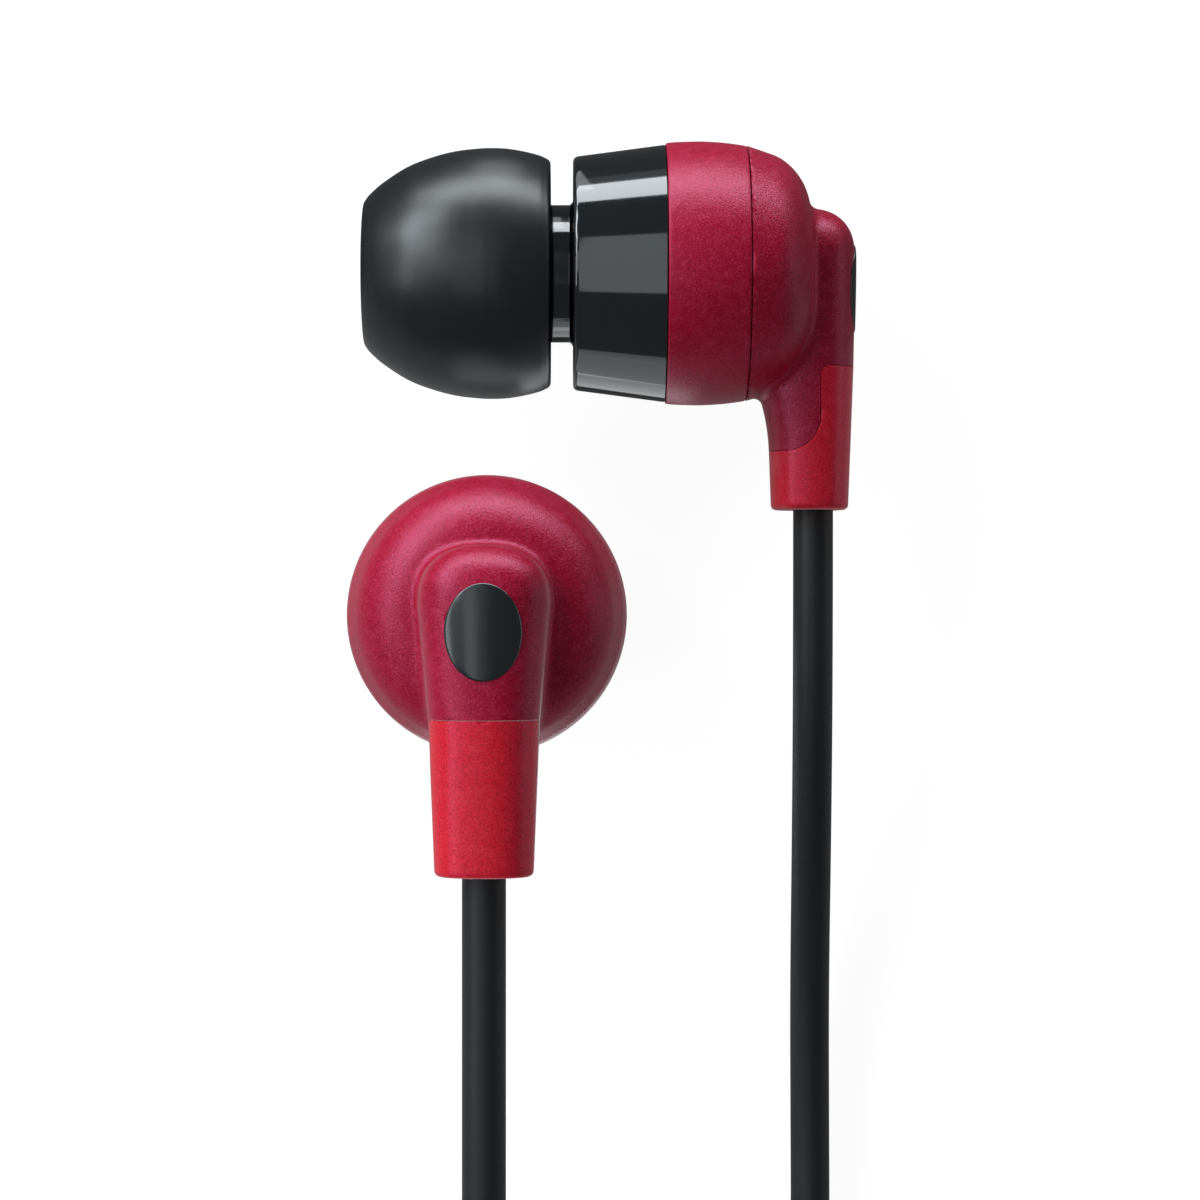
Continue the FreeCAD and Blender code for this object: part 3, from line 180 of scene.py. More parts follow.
main_cord = make_cord("main_cord", [
    OUTLET, (-17.5, -104.7, 3.1), (-17.55, -108.0, 1.72), (-17.55, -111.0, 1.72),
    *coil_points(MAIN_COIL, 1.72, math.radians(180), 10.8, MAIN_PITCH, 3, 4),
    (-19.15, -115.4, 11.32), (-19.15, -121.8, 11.32), (-14.3, -126.9, 13.0), (-7.6, -127.1, 15.2),
    (COIL_X, -122.2, 16.12), PLUG_START,
], MAIN)

# Meshes

BUD_PLACES = {
    "right": Matrix.Translation(Vector((-12.35, 11.1, 6.58)) * MM) @ Matrix.Rotation(math.pi / 2, 4, "Y"),
    "left": Matrix.Translation(Vector((-5.8, -5.9, 0)) * MM),
}


CREASE = math.radians(40)


def add_mesh(name, points, faces, place):
    """A smooth-shaded mesh from points in millimetres. Edges that turn by more than CREASE stay sharp."""
    data = bpy.data.meshes.new(name)
    data.from_pydata([tuple(point) for point in np.asarray(points) * MM], [], [tuple(face) for face in faces])
    data.transform(place)
    data.shade_smooth()
    data.set_sharp_from_angle(angle=CREASE)
    piece = bpy.data.objects.new(name, data)
    scene.collection.objects.link(piece)
    return piece


def face_outwards(piece):
    """Joins doubled points and turns every face outwards."""
    form = bmesh.new()
    form.from_mesh(piece.data)
    bmesh.ops.remove_doubles(form, verts=form.verts, dist=1e-8)
    bmesh.ops.recalc_face_normals(form, faces=form.faces)
    form.to_mesh(piece.data)
    form.free()


CUT_SHARE = 0.49


def soften(corners, steps=6):
    """The line through corners (radius, height, fillet), each corner rounded by its fillet."""
    line = []
    count = len(corners)
    for index, (radius, height, fillet) in enumerate(corners):
        point = Vector((radius, height))
        before = Vector(corners[index - 1][:2])
        after = Vector(corners[(index + 1) % count][:2])
        back = (before - point).normalized()
        on = (after - point).normalized()
        turn = math.pi - back.angle(on)
        longest = min((before - point).length, (after - point).length) * CUT_SHARE
        cut = min(fillet * math.tan(turn / 2), longest)
        for step in range(steps + 1):
            share = step / steps
            start = point + back * cut
            finish = point + on * cut
            line.append((1 - share) ** 2 * start + 2 * share * (1 - share) * point + share**2 * finish)
    return line


def curved(points, steps=6):
    """A smooth line through the points, with steps between each two."""
    points = [Vector(point) for point in points]
    ends = [points[0] * 2 - points[1], *points, points[-1] * 2 - points[-2]]
    line = []
    for a, b, c, d in zip(ends, ends[1:], ends[2:], ends[3:]):
        for step in range(steps):
            t = step / steps
            line.append(0.5 * (2 * b + (c - a) * t + (2 * a - 5 * b + 4 * c - d) * t**2
                               + (3 * b - a - 3 * c + d) * t**3))
    line.append(points[-1])
    return line


def turn_round(name, line, place, sides):
    """The closed line of (radius, height) turned about Z."""
    angles = [2 * math.pi * side / sides for side in range(sides)]
    points = []
    rings = []
    for radius, height in line:
        rings.append(range(len(points), len(points) + sides))
        points += [(radius * math.cos(angle), radius * math.sin(angle), height) for angle in angles]
    faces = []
    for ring, following in zip(rings, rings[1:] + rings[:1]):
        for side in range(sides):
            near = (side + 1) % sides
            faces.append((ring[side], ring[near], following[near], following[side]))
    piece = add_mesh(name, points, faces, place)
    face_outwards(piece)
    piece.data.set_sharp_from_angle(angle=CREASE)
    return piece


# Forms by distance: each gives how far points are outside a solid, in millimetres


def round_both(a, b, radius):
    """Where both are, with the edge between them rounded."""
    edge = np.hypot(np.maximum(a + radius, 0), np.maximum(b + radius, 0))
    return np.minimum(np.maximum(a, b), -radius) + edge


def round_either(a, b, radius):
    """Where either is, with the corner between them filled."""
    corner = np.hypot(np.maximum(radius - a, 0), np.maximum(radius - b, 0))
    return np.maximum(np.minimum(a, b), radius) - corner


def ellipsoid(points, centre, radii):
    """The distance as it is near the surface, and roughly right elsewhere."""
    offset = (points - np.array(centre)) / np.array(radii)
    near = np.linalg.norm(offset, axis=-1)
    slope = np.linalg.norm(offset / np.array(radii), axis=-1)
    return near * (near - 1) / np.maximum(slope, 1e-9)


# Heights, radii, fillets and gaps of the cover, the boss with its stem, the boot and the badge

PARTING = 19.26
DOME_RADIUS = 6.35
DOME_TAPER = math.atan(0.34)
DOME_TOP = 22.38
DOME_SHOULDER = 1.9
COVER_WALL = 0.8
COVER_ROOM = 5.4
BOSS_BACK = 24.68
BOSS_CENTRE = 0.5
BOSS_HALF = 3.0
BOSS_REACH = 2.72
BOSS_FILLET = 0.45
ARCH_POWER = 2.4
STEM_POWERS = (2.35, 2.7)
STEM_HALVES = (2.25, 2.53)
STEM_BACKS = (24.33, 24.6)
STEM_FRONT = 20.4
STEM_END = -11.8
STEM_EDGE = 0.25
BACK_BOW = 0.05
BOW_START = 1.2
FLARE_START = -9.2
FLARE_LENGTH = 3
FLARE_DEPTH = 0.45
END_LENGTH = 2.9
END_RISE = 0.1
CABLE_DEPTH = 22.6
TONGUE = 22.8
SHOULDER = -8.9
BOOT_TOP = -4.7
TONGUE_CORNER = 0.45
SHOULDER_CORNER = 1.7
CABLE_ROOM = 0.04
SEAM = 0.014
BADGE_CENTRE = -0.75
BADGE_HALVES = (1.75, 2.2)
BADGE_DOME = 0.07
BADGE_FALL = 0.015
SEAT_SHARE = 0.96
SEAT_DEPTH = 0.6


def dome_form(points):
    """The cover's dome: a tapered side that rolls over a wide round shoulder into a flat back."""
    radius = np.hypot(points[..., 0], points[..., 1])
    rise = np.abs(points[..., 2] - PARTING)
    side = (radius - DOME_RADIUS) * math.cos(DOME_TAPER) + rise * math.sin(DOME_TAPER)
    return round_both(side, points[..., 2] - DOME_TOP, DOME_SHOULDER)


def stem_form(points):
    """The arch-shaped boss that runs down into the stem, bowed all round."""
    x, y, z = points[..., 0], points[..., 1], points[..., 2]
    levels = (STEM_END, BOOT_TOP, BOSS_CENTRE)
    power = np.interp(y, (BOSS_CENTRE, BOSS_CENTRE + 1.5), STEM_POWERS)
    half = np.interp(y, levels, (*STEM_HALVES, BOSS_HALF))
    aside = np.abs(x) / half
    above = np.maximum(y - BOSS_CENTRE, 0) / BOSS_REACH
    across = (aside**ARCH_POWER + above**ARCH_POWER) ** (1 / ARCH_POWER)
    back = np.interp(y, levels, (*STEM_BACKS, BOSS_BACK))
    back = back - BACK_BOW * np.maximum(0, y - BOW_START) ** 2
    flare = np.clip((y - FLARE_START) / FLARE_LENGTH, 0, 1)
    taper = np.clip((SHOULDER - y) / END_LENGTH, 0, 1)
    front = STEM_FRONT - FLARE_DEPTH * flare**2 + END_RISE * taper
    deep = (back - front) / 2
    level = np.abs(z - (back + front) / 2) / deep
    size = np.maximum((across**power + level**power) ** (1 / power), 1e-6)
    slope = np.hypot((across / size) ** (power - 1) / half, (level / size) ** (power - 1) / deep)
    return round_both((size - 1) / slope, STEM_END - y, STEM_EDGE)


def boot_region(points):
    """The side-on region that the boot takes of the stem."""
    y, z = points[..., 1], points[..., 2]
    tongue = round_both(y - BOOT_TOP, TONGUE - z, TONGUE_CORNER)
    return round_either(tongue, y - SHOULDER, SHOULDER_CORNER)


def badge_seat(points):
    """The pocket under the badge, smaller than the badge's rim."""
    halves = (*(half * SEAT_SHARE for half in BADGE_HALVES), 1.0)
    oval = ellipsoid(points * np.array((1, 1, 0)), (0, BADGE_CENTRE, 0), halves)
    return np.maximum(oval, BOSS_BACK - SEAT_DEPTH - points[..., 2])


def cover_outside(points):
    return round_either(dome_form(points), stem_form(points), BOSS_FILLET)


def cover_inside(points):
    return np.maximum(dome_form(points) + COVER_WALL, np.hypot(points[..., 0], points[..., 1]) - COVER_ROOM)


def boot_clearance(points):
    return SEAM - boot_region(points)


def cover_form(points):
    cut = np.maximum(boot_clearance(points), PARTING - points[..., 2])
    hollow = np.maximum(-cover_inside(points), -badge_seat(points))
    return np.maximum(np.maximum(cover_outside(points), cut), hollow)


def boot_form(points):
    bore = (BRANCH / 2 + CABLE_ROOM) - np.hypot(points[..., 0], points[..., 2] - CABLE_DEPTH)
    return np.maximum(np.maximum(stem_form(points), boot_region(points) + SEAM), bore)


BACK_RANGE = (23.0, 25.0)
HALVINGS = 30


def back_height(x, y):
    """How far back the boss's surface is at x and y, by halving the interval that it lies in."""
    low, high = (np.full(np.shape(x), end) for end in BACK_RANGE)
    for _ in range(HALVINGS):
        middle = (low + high) / 2
        inside = stem_form(np.stack([x, y, middle], axis=-1)) < 0
        low, high = np.where(inside, middle, low), np.where(inside, high, middle)
    return low


def slope_of(form, points):
    """How fast the form's distance grows along X, Y and Z."""
    step = 1e-3
    return np.stack([
        (form(points + offset) - form(points - offset)) / (2 * step) for offset in np.eye(3) * step
    ], axis=-1)


SETTLE_ROUNDS = 5
LEAST_SLOPE = 0.05


def settle(form, points, reach):
    """Moves points onto the surface of a form, by no more than reach."""
    start = points.copy()
    for _ in range(SETTLE_ROUNDS):
        slope = slope_of(form, points)
        size = np.maximum((slope**2).sum(axis=-1), LEAST_SLOPE)
        points = points - slope * (form(points) / size)[:, None]
        shift = points - start
        length = np.linalg.norm(shift, axis=-1)
        points = start + shift * np.minimum(1, reach / np.maximum(length, 1e-9))[:, None]
    return points


def settle_on_edge(one, other, points, reach):
    """Moves the points that lie near both surfaces onto the edge where they meet."""
    near = (np.abs(one(points)) < reach) & (np.abs(other(points)) < reach)
    chosen = points[near]
    for _ in range(SETTLE_ROUNDS):
        first, second = slope_of(one, chosen), slope_of(other, chosen)
        away = np.stack([one(chosen), other(chosen)], axis=-1)
        rows = np.stack([first, second], axis=1)
        product = rows @ rows.transpose(0, 2, 1) + np.eye(2) * 1e-3
        weights = np.linalg.solve(product, away[..., None])
        chosen = chosen - (rows.transpose(0, 2, 1) @ weights)[..., 0]
    moved = points.copy()
    moved[near] = chosen
    return moved


SMOOTHINGS = 2
EDGE_REACH = 0.6


def skin(name, form, box, step, place, edges):
    """A mesh of quads over the surface of a form, inside the box of two corners.

    The meeting lines of the pairs of forms in edges stay sharp.
    """
    low, high = np.array(box, float)
    counts = np.ceil((high - low) / step).astype(int) + 1
    axes = [low[axis] + step * np.arange(counts[axis]) for axis in range(3)]
    field = form(np.stack(np.meshgrid(*axes, indexing="ij"), axis=-1))
    inside = field < 0
    cells = [slice(0, -1), slice(1, None)]
    filled = sum(inside[a, b, c].astype(int) for a, b, c in itertools.product(cells, repeat=3))
    mixed = (filled > 0) & (filled < 8)
    number = np.full(mixed.shape, -1)
    number[mixed] = np.arange(mixed.sum())
    points = low + (np.argwhere(mixed) + 0.5) * step
    points = settle(form, points, step)
    quads = []
    for axis in range(3):
        one, two = [other for other in range(3) if other != axis]
        before = [slice(None)] * 3
        after = [slice(None)] * 3
        before[axis] = slice(0, -1)
        after[axis] = slice(1, None)
        changes = inside[tuple(before)] != inside[tuple(after)]
        changes[tuple(0 if other == one else slice(None) for other in range(3))] = False
        changes[tuple(0 if other == two else slice(None) for other in range(3))] = False
        spots = np.argwhere(changes)
        spots = spots[(spots[:, one] < counts[one] - 1) & (spots[:, two] < counts[two] - 1)]
        corner_a, corner_b, corner_c = spots.copy(), spots.copy(), spots.copy()
        corner_a[:, one] -= 1
        corner_b[:, one] -= 1
        corner_b[:, two] -= 1
        corner_c[:, two] -= 1
        corners = (spots, corner_a, corner_b, corner_c)
        quad = np.stack([number[tuple(corner.T)] for corner in corners], axis=-1)
        flip = inside[tuple(before)][tuple(spots.T)] == (axis == 1)
        quad[flip] = quad[flip][:, ::-1]
        quads.append(quad)
    quads = np.concatenate(quads)
    quads = quads[(quads >= 0).all(axis=1)]
    for _ in range(SMOOTHINGS):
        total = np.zeros_like(points)
        degree = np.zeros(len(points))
        for first in range(4):
            following = (first + 1) % 4
            np.add.at(total, quads[:, first], points[quads[:, following]])
            np.add.at(degree, quads[:, first], 1)
        points = settle(form, points * 0.5 + total / np.maximum(degree, 1)[:, None] * 0.5, step)
    for one, other in edges:
        points = settle_on_edge(one, other, points, step * EDGE_REACH)
    return add_mesh(name, points, quads, place)


# Bud pieces


def make_ear_tip(name, place):
    """A silicone dome over a hollow skirt, with the sleeve that slides over the nozzle."""
    outside = curved([
        (3.58, 0.2), (3.8, 0.35), (4.04, 0.57), (4.55, 1.17), (5.3, 2.35), (5.77, 3.55), (6.08, 4.75),
        (6.22, 5.95), (6.24, 6.6), (6.22, 7.2), (6.14, 7.8), (6.02, 8.4), (5.87, 8.95), (5.76, 9.2),
    ], 4)
    rim = curved([(5.76, 9.2), (5.66, 9.38), (5.5, 9.48), (5.3, 9.45), (5.2, 9.3)], 3)
    inside = curved([
        (5.2, 9.3), (5.5, 8.2), (5.62, 6.8), (5.5, 5.2), (5.15, 3.9), (4.6, 3.0), (3.95, 2.62),
    ], 5)
    sleeve = soften([
        (3.62, 2.75, 0.2), (3.62, 8.2, 0.15), (3.01, 8.2, 0.08), (3.01, 1.7, 0.1), (2.1, 1.7, 0.1),
        (2.1, 0.18, 0.3), (3.54, 0.18, 0.04),
    ])
    return turn_round(name, [*outside, *rim, *inside, *sleeve], place, sides=160)


def make_front_housing(name, place):
    """The gloss ring, its neck and the nozzle with its bead, in one moulding."""
    line = soften([
        (2.3, 2.0, 0.05), (2.95, 2.0, 0.1), (2.95, 2.7, 0.1), (2.9, 3.0, 0.1), (2.9, 8.5, 0.03),
        (3.42, 8.5, 0.08), (3.42, 10.45, 0.12), (3.6, 10.6, 0.1), (5.8, 10.6, 0.32), (6.4, 15.17, 0.04),
        (5.75, 15.17, 0.03), (5.75, 16.4, 0.03), (5.3, 16.4, 0.03), (5.3, 11.5, 0.05), (2.3, 11.5, 0.05),
    ])
    return turn_round(name, line, place, sides=192)


def make_middle_shell(name, place):
    """The crimson ring between the gloss ring and the cover, slightly crowned."""
    outside = curved([
        (6.43, 15.21), (6.49, 15.3), (6.535, 15.8), (6.56, 16.6), (6.555, 17.2), (6.51, 17.95), (6.45, 18.5),
        (6.37, 19.05), (6.335, 19.17),
    ], 5)
    line = [*outside, Vector((6.3, 19.21)), Vector((5.82, 19.21)), Vector((5.82, 15.21))]
    return turn_round(name, line, place, sides=192)


def make_rear_cover(name, place):
    """The dome with its boss and the part of the stem that the boot leaves bare."""
    cut_here = (lambda points: PARTING - points[..., 2])
    edges = [
        (cover_outside, cut_here), (cover_outside, boot_clearance), (cover_inside, cut_here),
        (cover_outside, badge_seat),
    ]
    return skin(name, cover_form, COVER_BOX, COVER_STEP, place, edges)


def make_boot(name, place):
    """The strain relief round the stem's end, with a tongue on the back and a bore for the cable."""
    region = (lambda points: boot_region(points) + SEAM)
    edges = [(stem_form, region)]
    return skin(name, boot_form, BOOT_BOX, BOOT_STEP, place, edges)


def make_badge(name, place):
    """A plain oval inlay that follows the boss, with a rim that covers its pocket's edge."""
    sides = 120
    lifts = [(share, BADGE_DOME - BADGE_FALL * share**2) for share in np.linspace(0.1, 0.95, 12)]
    lifts += [(0.975, 0.048), (0.99, 0.036), (1.0, 0.018), (1.0, 0.002), (0.95, 0.002), (0.95, -0.35)]
    angles = np.linspace(0, 2 * math.pi, sides, endpoint=False)
    points = [(0, BADGE_CENTRE, back_height(0.0, BADGE_CENTRE) + BADGE_DOME)]
    for share, lift in lifts:
        x = BADGE_HALVES[0] * share * np.cos(angles)
        y = BADGE_CENTRE + BADGE_HALVES[1] * share * np.sin(angles)
        points += list(zip(x, y, back_height(x, y) + lift))
    faces = []
    for side in range(sides):
        near = (side + 1) % sides
        faces.append((0, 1 + side, 1 + near))
        for ring in range(len(lifts) - 1):
            start = 1 + ring * sides
            faces.append((start + side, start + sides + side, start + sides + near, start + near))
    last = 1 + (len(lifts) - 1) * sides
    faces.append([last + side for side in reversed(range(sides))])
    return add_mesh(name, points, faces, place)


MESH_HEIGHT = 2.3
MESH_SIZES = {"Radius": 2.2 * MM, "Pitch": 0.23 * MM, "Wire": 0.045 * MM, "Wave": 0.048 * MM, "Count": 19}
RIM_TO_WIRE = 1.8
STRAND_POINTS = 57
WIRE_SIDES = 6
RIM_SIDES = 10
RIM_POINTS = 72


def make_weave():
    """Geometry Nodes tree: a round of wires, woven over and under each other, in a thicker rim.

    Radius is the rim's, Pitch goes from wire to wire, Wire is a wire's radius, Wave is how far a wire rises
    and dips, and Count is the number of wires each way.
    """
    tree = bpy.data.node_groups.new("wire_weave", "GeometryNodeTree")
    for label in ("Radius", "Pitch", "Wire", "Wave"):
        tree.interface.new_socket(label, in_out="INPUT", socket_type="NodeSocketFloat")
    tree.interface.new_socket("Count", in_out="INPUT", socket_type="NodeSocketInt")
    tree.interface.new_socket("Material", in_out="INPUT", socket_type="NodeSocketMaterial")
    tree.interface.new_socket("Mesh", in_out="OUTPUT", socket_type="NodeSocketGeometry")

    def node(kind, inputs, output=0, **settings):
        made = tree.nodes.new(kind)
        for name, value in settings.items():
            setattr(made, name, value)
        for socket, value in inputs.items():
            if isinstance(value, bpy.types.NodeSocket):
                tree.links.new(value, made.inputs[socket])
            else:
                made.inputs[socket].default_value = value
        return made.outputs[output]

    def maths(operation, *values):
        return node("ShaderNodeMath", dict(enumerate(values)), operation=operation)

    def vector(x, y, z):
        return node("ShaderNodeCombineXYZ", {0: x, 1: y, 2: z})

    given = tree.nodes.new("NodeGroupInput").outputs
    radius, pitch, wire, wave, count, material = given[:6]
    position = node("GeometryNodeInputPosition", {})
    x, y = (node("ShaderNodeSeparateXYZ", {0: position}, axis) for axis in (0, 1))

    # Straight strands side by side, each as long as the round is there
    first = maths("MULTIPLY", maths("SUBTRACT", count, 1), maths("MULTIPLY", pitch, -0.5))
    row = node(
        "GeometryNodeMeshLine",
        {"Count": count, "Start Location": vector(first, 0, 0), "Offset": vector(pitch, 0, 0)}, mode="OFFSET")
    half = maths("SQRT", maths("SUBTRACT", maths("MULTIPLY", radius, radius), maths("MULTIPLY", x, x)))
    strand = node("GeometryNodeCurvePrimitiveLine", {"Start": (0, -1, 0), "End": (0, 1, 0)})
    strand = node("GeometryNodeResampleCurve", {"Curve": strand, "Count": STRAND_POINTS})
    strands = node(
        "GeometryNodeInstanceOnPoints", {"Points": row, "Instance": strand, "Scale": vector(1, half, 1)})
    strands = node("GeometryNodeRealizeInstances", {0: strands})

    # The rim, then the strands in waves, and once more across with the waves upside down
    waves = [maths("COSINE", maths("DIVIDE", maths("MULTIPLY", along, math.pi), pitch)) for along in (x, y)]
    lift = maths("MULTIPLY", wave, maths("MULTIPLY", *waves))
    profile = node("GeometryNodeCurvePrimitiveCircle", {"Resolution": WIRE_SIDES, "Radius": wire})
    rim_profile = node(
        "GeometryNodeCurvePrimitiveCircle",
        {"Resolution": RIM_SIDES, "Radius": maths("MULTIPLY", wire, RIM_TO_WIRE)})
    rim = node("GeometryNodeCurvePrimitiveCircle", {"Resolution": RIM_POINTS, "Radius": radius})
    parts = [node("GeometryNodeCurveToMesh", {"Curve": rim, "Profile Curve": rim_profile})]
    for sign, turn in ((1, 0), (-1, math.pi / 2)):
        offset = vector(0, 0, maths("MULTIPLY", lift, sign))
        bent = node("GeometryNodeSetPosition", {"Geometry": strands, "Offset": offset})
        wires = node("GeometryNodeCurveToMesh", {"Curve": bent, "Profile Curve": profile, "Fill Caps": True})
        parts.append(node("GeometryNodeTransform", {"Geometry": wires, "Rotation": (0, 0, turn)}))
    joined = tree.nodes.new("GeometryNodeJoinGeometry")
    for part in parts:
        tree.links.new(part, joined.inputs[0])
    whole = node("GeometryNodeRealizeInstances", {0: joined.outputs[0]})
    whole = node("GeometryNodeSetMaterial", {"Geometry": whole, "Material": material})
    tree.links.new(whole, tree.nodes.new("NodeGroupOutput").inputs[0])
    return tree


def make_nozzle_mesh(name, place):
    """The woven guard in the nozzle's mouth."""
    host = bpy.data.objects.new(name, bpy.data.meshes.new(name))
    scene.collection.objects.link(host)
    modifier = host.modifiers.new("weave", "NODES")
    modifier.node_group = WEAVE
    given = {**MESH_SIZES, "Material": FINISHES["mesh_steel"]}
    for socket in WEAVE.interface.items_tree:
        if socket.name in given:
            modifier[socket.identifier] = given[socket.name]
    bpy.context.view_layer.update()
    woven = bpy.data.meshes.new_from_object(host.evaluated_get(bpy.context.evaluated_depsgraph_get()))
    bpy.data.objects.remove(host)
    woven.transform(place @ Matrix.Translation((0, 0, MESH_HEIGHT * MM)))
    woven.name = name
    woven.shade_smooth()
    piece = bpy.data.objects.new(name, woven)
    scene.collection.objects.link(piece)
    face_outwards(piece)
    return piece


COVER_BOX = ((-6.6, -9.2, 19.2), (6.6, 6.6, 24.9))
COVER_STEP = 0.13
BOOT_BOX = ((-2.8, -12.0, 20.2), (2.8, -4.5, 24.8))
BOOT_STEP = 0.1
WEAVE = make_weave()
BUD_MAKERS = {
    "nozzle_mesh": (make_nozzle_mesh, "mesh_steel"),
    "ear_tip": (make_ear_tip, "silicone"),
    "front_housing": (make_front_housing, "gloss_black"),
    "middle_shell": (make_middle_shell, "crimson"),
    "rear_cover": (make_rear_cover, "crimson"),
    "boot": (make_boot, "red_rubber"),
    "badge": (make_badge, "badge"),
}


# Finishes


class Value:
    """A number that varies over a surface. Plus and times on it add Math nodes."""

    def __init__(self, finish, socket):
        self.finish = finish
        self.socket = socket

    def joined(self, operation, other):
        return self.finish.node("ShaderNodeMath", {"operation": operation}, {0: self, 1: other})

    def __add__(self, other):
        return self.joined("ADD", other)

    def __mul__(self, other):
        return self.joined("MULTIPLY", other)


class Finish:
    """A material and its nodes. constants are set on the shader's own sockets."""

    def __init__(self, name, constants):
        self.material = bpy.data.materials.new(name)
        self.material.use_nodes = True
        self.tree = self.material.node_tree
        self.shader = next(node for node in self.tree.nodes if node.type == "BSDF_PRINCIPLED")
        for socket, value in constants.items():
            self.shader.inputs[socket].default_value = (*value, 1) if isinstance(value, tuple) else value
        self.place = self.node("ShaderNodeTexCoord", {}, {}, "Object")

    def node(self, kind, settings, inputs, output=0):
        """A node's output. inputs are values, or numbers and colours for the sockets by name or index."""
        made = self.tree.nodes.new(kind)
        for setting, value in settings.items():
            if setting == "stops":
                stops = made.color_ramp.elements
                while len(stops) < len(value):
                    stops.new(0.5)
                for stop, (position, grey) in zip(stops, value):
                    stop.position = position
                    stop.color = (grey, grey, grey, 1)
            else:
                setattr(made, setting, value)
        for socket, value in inputs.items():
            if isinstance(value, Value):
                self.tree.links.new(value.socket, made.inputs[socket])
            elif isinstance(value, tuple) and made.inputs[socket].type == "RGBA":
                made.inputs[socket].default_value = (*value, 1)
            else:
                made.inputs[socket].default_value = value
        return Value(self, made.outputs[output])

    def noise(self, size, detail, roughness=0.5):
        """Soft spots about size millimetres across."""
        return self.node("ShaderNodeTexNoise", {}, {
            "Vector": self.place, "Scale": 1 / (size * MM), "Detail": detail, "Roughness": roughness})

    def ramp(self, value, stops):
        """The value taken through stops of (position, grey)."""
        return self.node("ShaderNodeValToRGB", {"stops": stops}, {"Fac": value})

    def mix(self, share, one, other):
        """From one colour at share 0 to the other at share 1."""
        return self.node("ShaderNodeMix", {"data_type": "RGBA"}, {0: share, 6: one, 7: other}, 2)

    def feed(self, **values):
        """Links values to the shader's sockets."""
        for socket, value in values.items():
            self.tree.links.new(value.socket, self.shader.inputs[socket.replace("_", " ")])

    def bump(self, height, depth):
        """Raises the surface by up to depth millimetres where height is 1."""
        self.feed(Normal=self.node("ShaderNodeBump", {}, {"Height": height, "Distance": depth * MM}))


def colour(red, green, blue):
    """Screen values from 0 to 255 as the linear values that a shader takes."""
    def linear(value):
        value /= 255
        return value / 12.92 if value <= 0.04045 else ((value + 0.055) / 1.055) ** 2.4
    return linear(red), linear(green), linear(blue)


def make_silicone():
    """Dark slate rubber with a soft gloss."""
    finish = Finish("silicone", {"Specular IOR Level": 0.7, "Specular Tint": (0.88, 0.95, 1.0)})
    cloud = finish.noise(3.0, 3)
    finish.feed(Base_Color=finish.mix(cloud, (0.004, 0.0062, 0.0077), (0.007, 0.01, 0.0125)))
    finish.feed(Roughness=finish.noise(1.2, 2) * 0.08 + 0.31)
    finish.bump(finish.noise(0.25, 2), 0.003)
    return finish.material


CRIMSON = ((0.36, 0.001, 0.022), (0.44, 0.002, 0.03), (0.7, 0.07, 0.18))
BRIGHT_RED = ((0.74, 0.011, 0.026), (0.82, 0.016, 0.034), (0.92, 0.08, 0.11))


def make_soft_touch(name, dark, base, light, grain_depth):
    """Fine-grained plastic with a velvety coat, with painted shade in the grain's hollows and painted
    highlights on its peaks.
    """
    finish = Finish(name, {
        "Specular IOR Level": 0.7, "Specular Tint": (1.0, 0.42, 0.78),
        "Sheen Weight": 0.06, "Sheen Roughness": 0.4, "Sheen Tint": (1.0, 0.4, 0.7)})
    grain = finish.noise(0.085, 2, 0.6)
    mottle = finish.noise(0.5, 3, 0.6)
    body = finish.mix(finish.noise(2.5, 2), dark, base)
    body = finish.mix(finish.ramp(mottle, [(0.45, 0.0), (0.7, 0.16)]), body, light)
    # Painted shade: the grain's hollows, where the bump is lowest, are painted darker.
    grain_hollow_shade = finish.mix(finish.ramp(grain, [(0.3, 0.45), (0.5, 0.0)]), body, (0.1, 0.0, 0.006))
    # Painted highlight: the grain's peaks are painted lighter, standing in for light glinting on the grain.
    grain_peak_highlight = finish.ramp(grain, [(0.54, 0.0), (0.68, 1.0)])
    finish.feed(Base_Color=finish.mix(grain_peak_highlight * 0.38, grain_hollow_shade, light))
    finish.feed(Roughness=grain * 0.24 + mottle * 0.08 + 0.17)
    finish.bump(grain, grain_depth)
    return finish.material


def make_gloss_black(name="gloss_black", roughness=0.05):
    """Hard black plastic with a mirror gloss, or duller with more roughness."""
    finish = Finish(name, {"Specular IOR Level": 1.0, "Specular Tint": (0.86, 0.94, 1.0)})
    cloud = finish.noise(4.0, 2)
    finish.feed(Base_Color=finish.mix(cloud, (0.003, 0.005, 0.006), (0.006, 0.009, 0.011)))
    finish.feed(Roughness=finish.noise(0.8, 3) * 0.05 + roughness)
    return finish.material


def make_cable_jacket():
    """Matt black cable jacket."""
    finish = Finish("cable", {"Specular IOR Level": 0.4})
    cloud = finish.noise(3.0, 2)
    finish.feed(Base_Color=finish.mix(cloud, (0.0105, 0.0125, 0.0155), (0.017, 0.0205, 0.0245)))
    finish.feed(Roughness=finish.noise(0.3, 2) * 0.15 + 0.4)
    finish.bump(finish.noise(0.12, 2), 0.003)
    return finish.material


def make_plain(name, base, roughness, metallic=0.0, grain=0.2, depth=0.002):
    """A quiet finish with a little variation in colour and gloss."""
    finish = Finish(name, {"Metallic": metallic})
    cloud = finish.noise(1.5, 3)
    darker = tuple(value * 0.82 for value in base)
    finish.feed(Base_Color=finish.mix(cloud, darker, base))
    finish.feed(Roughness=finish.noise(grain, 3) * 0.12 + roughness)
    if depth:
        finish.bump(finish.noise(grain, 2), depth)
    return finish.material


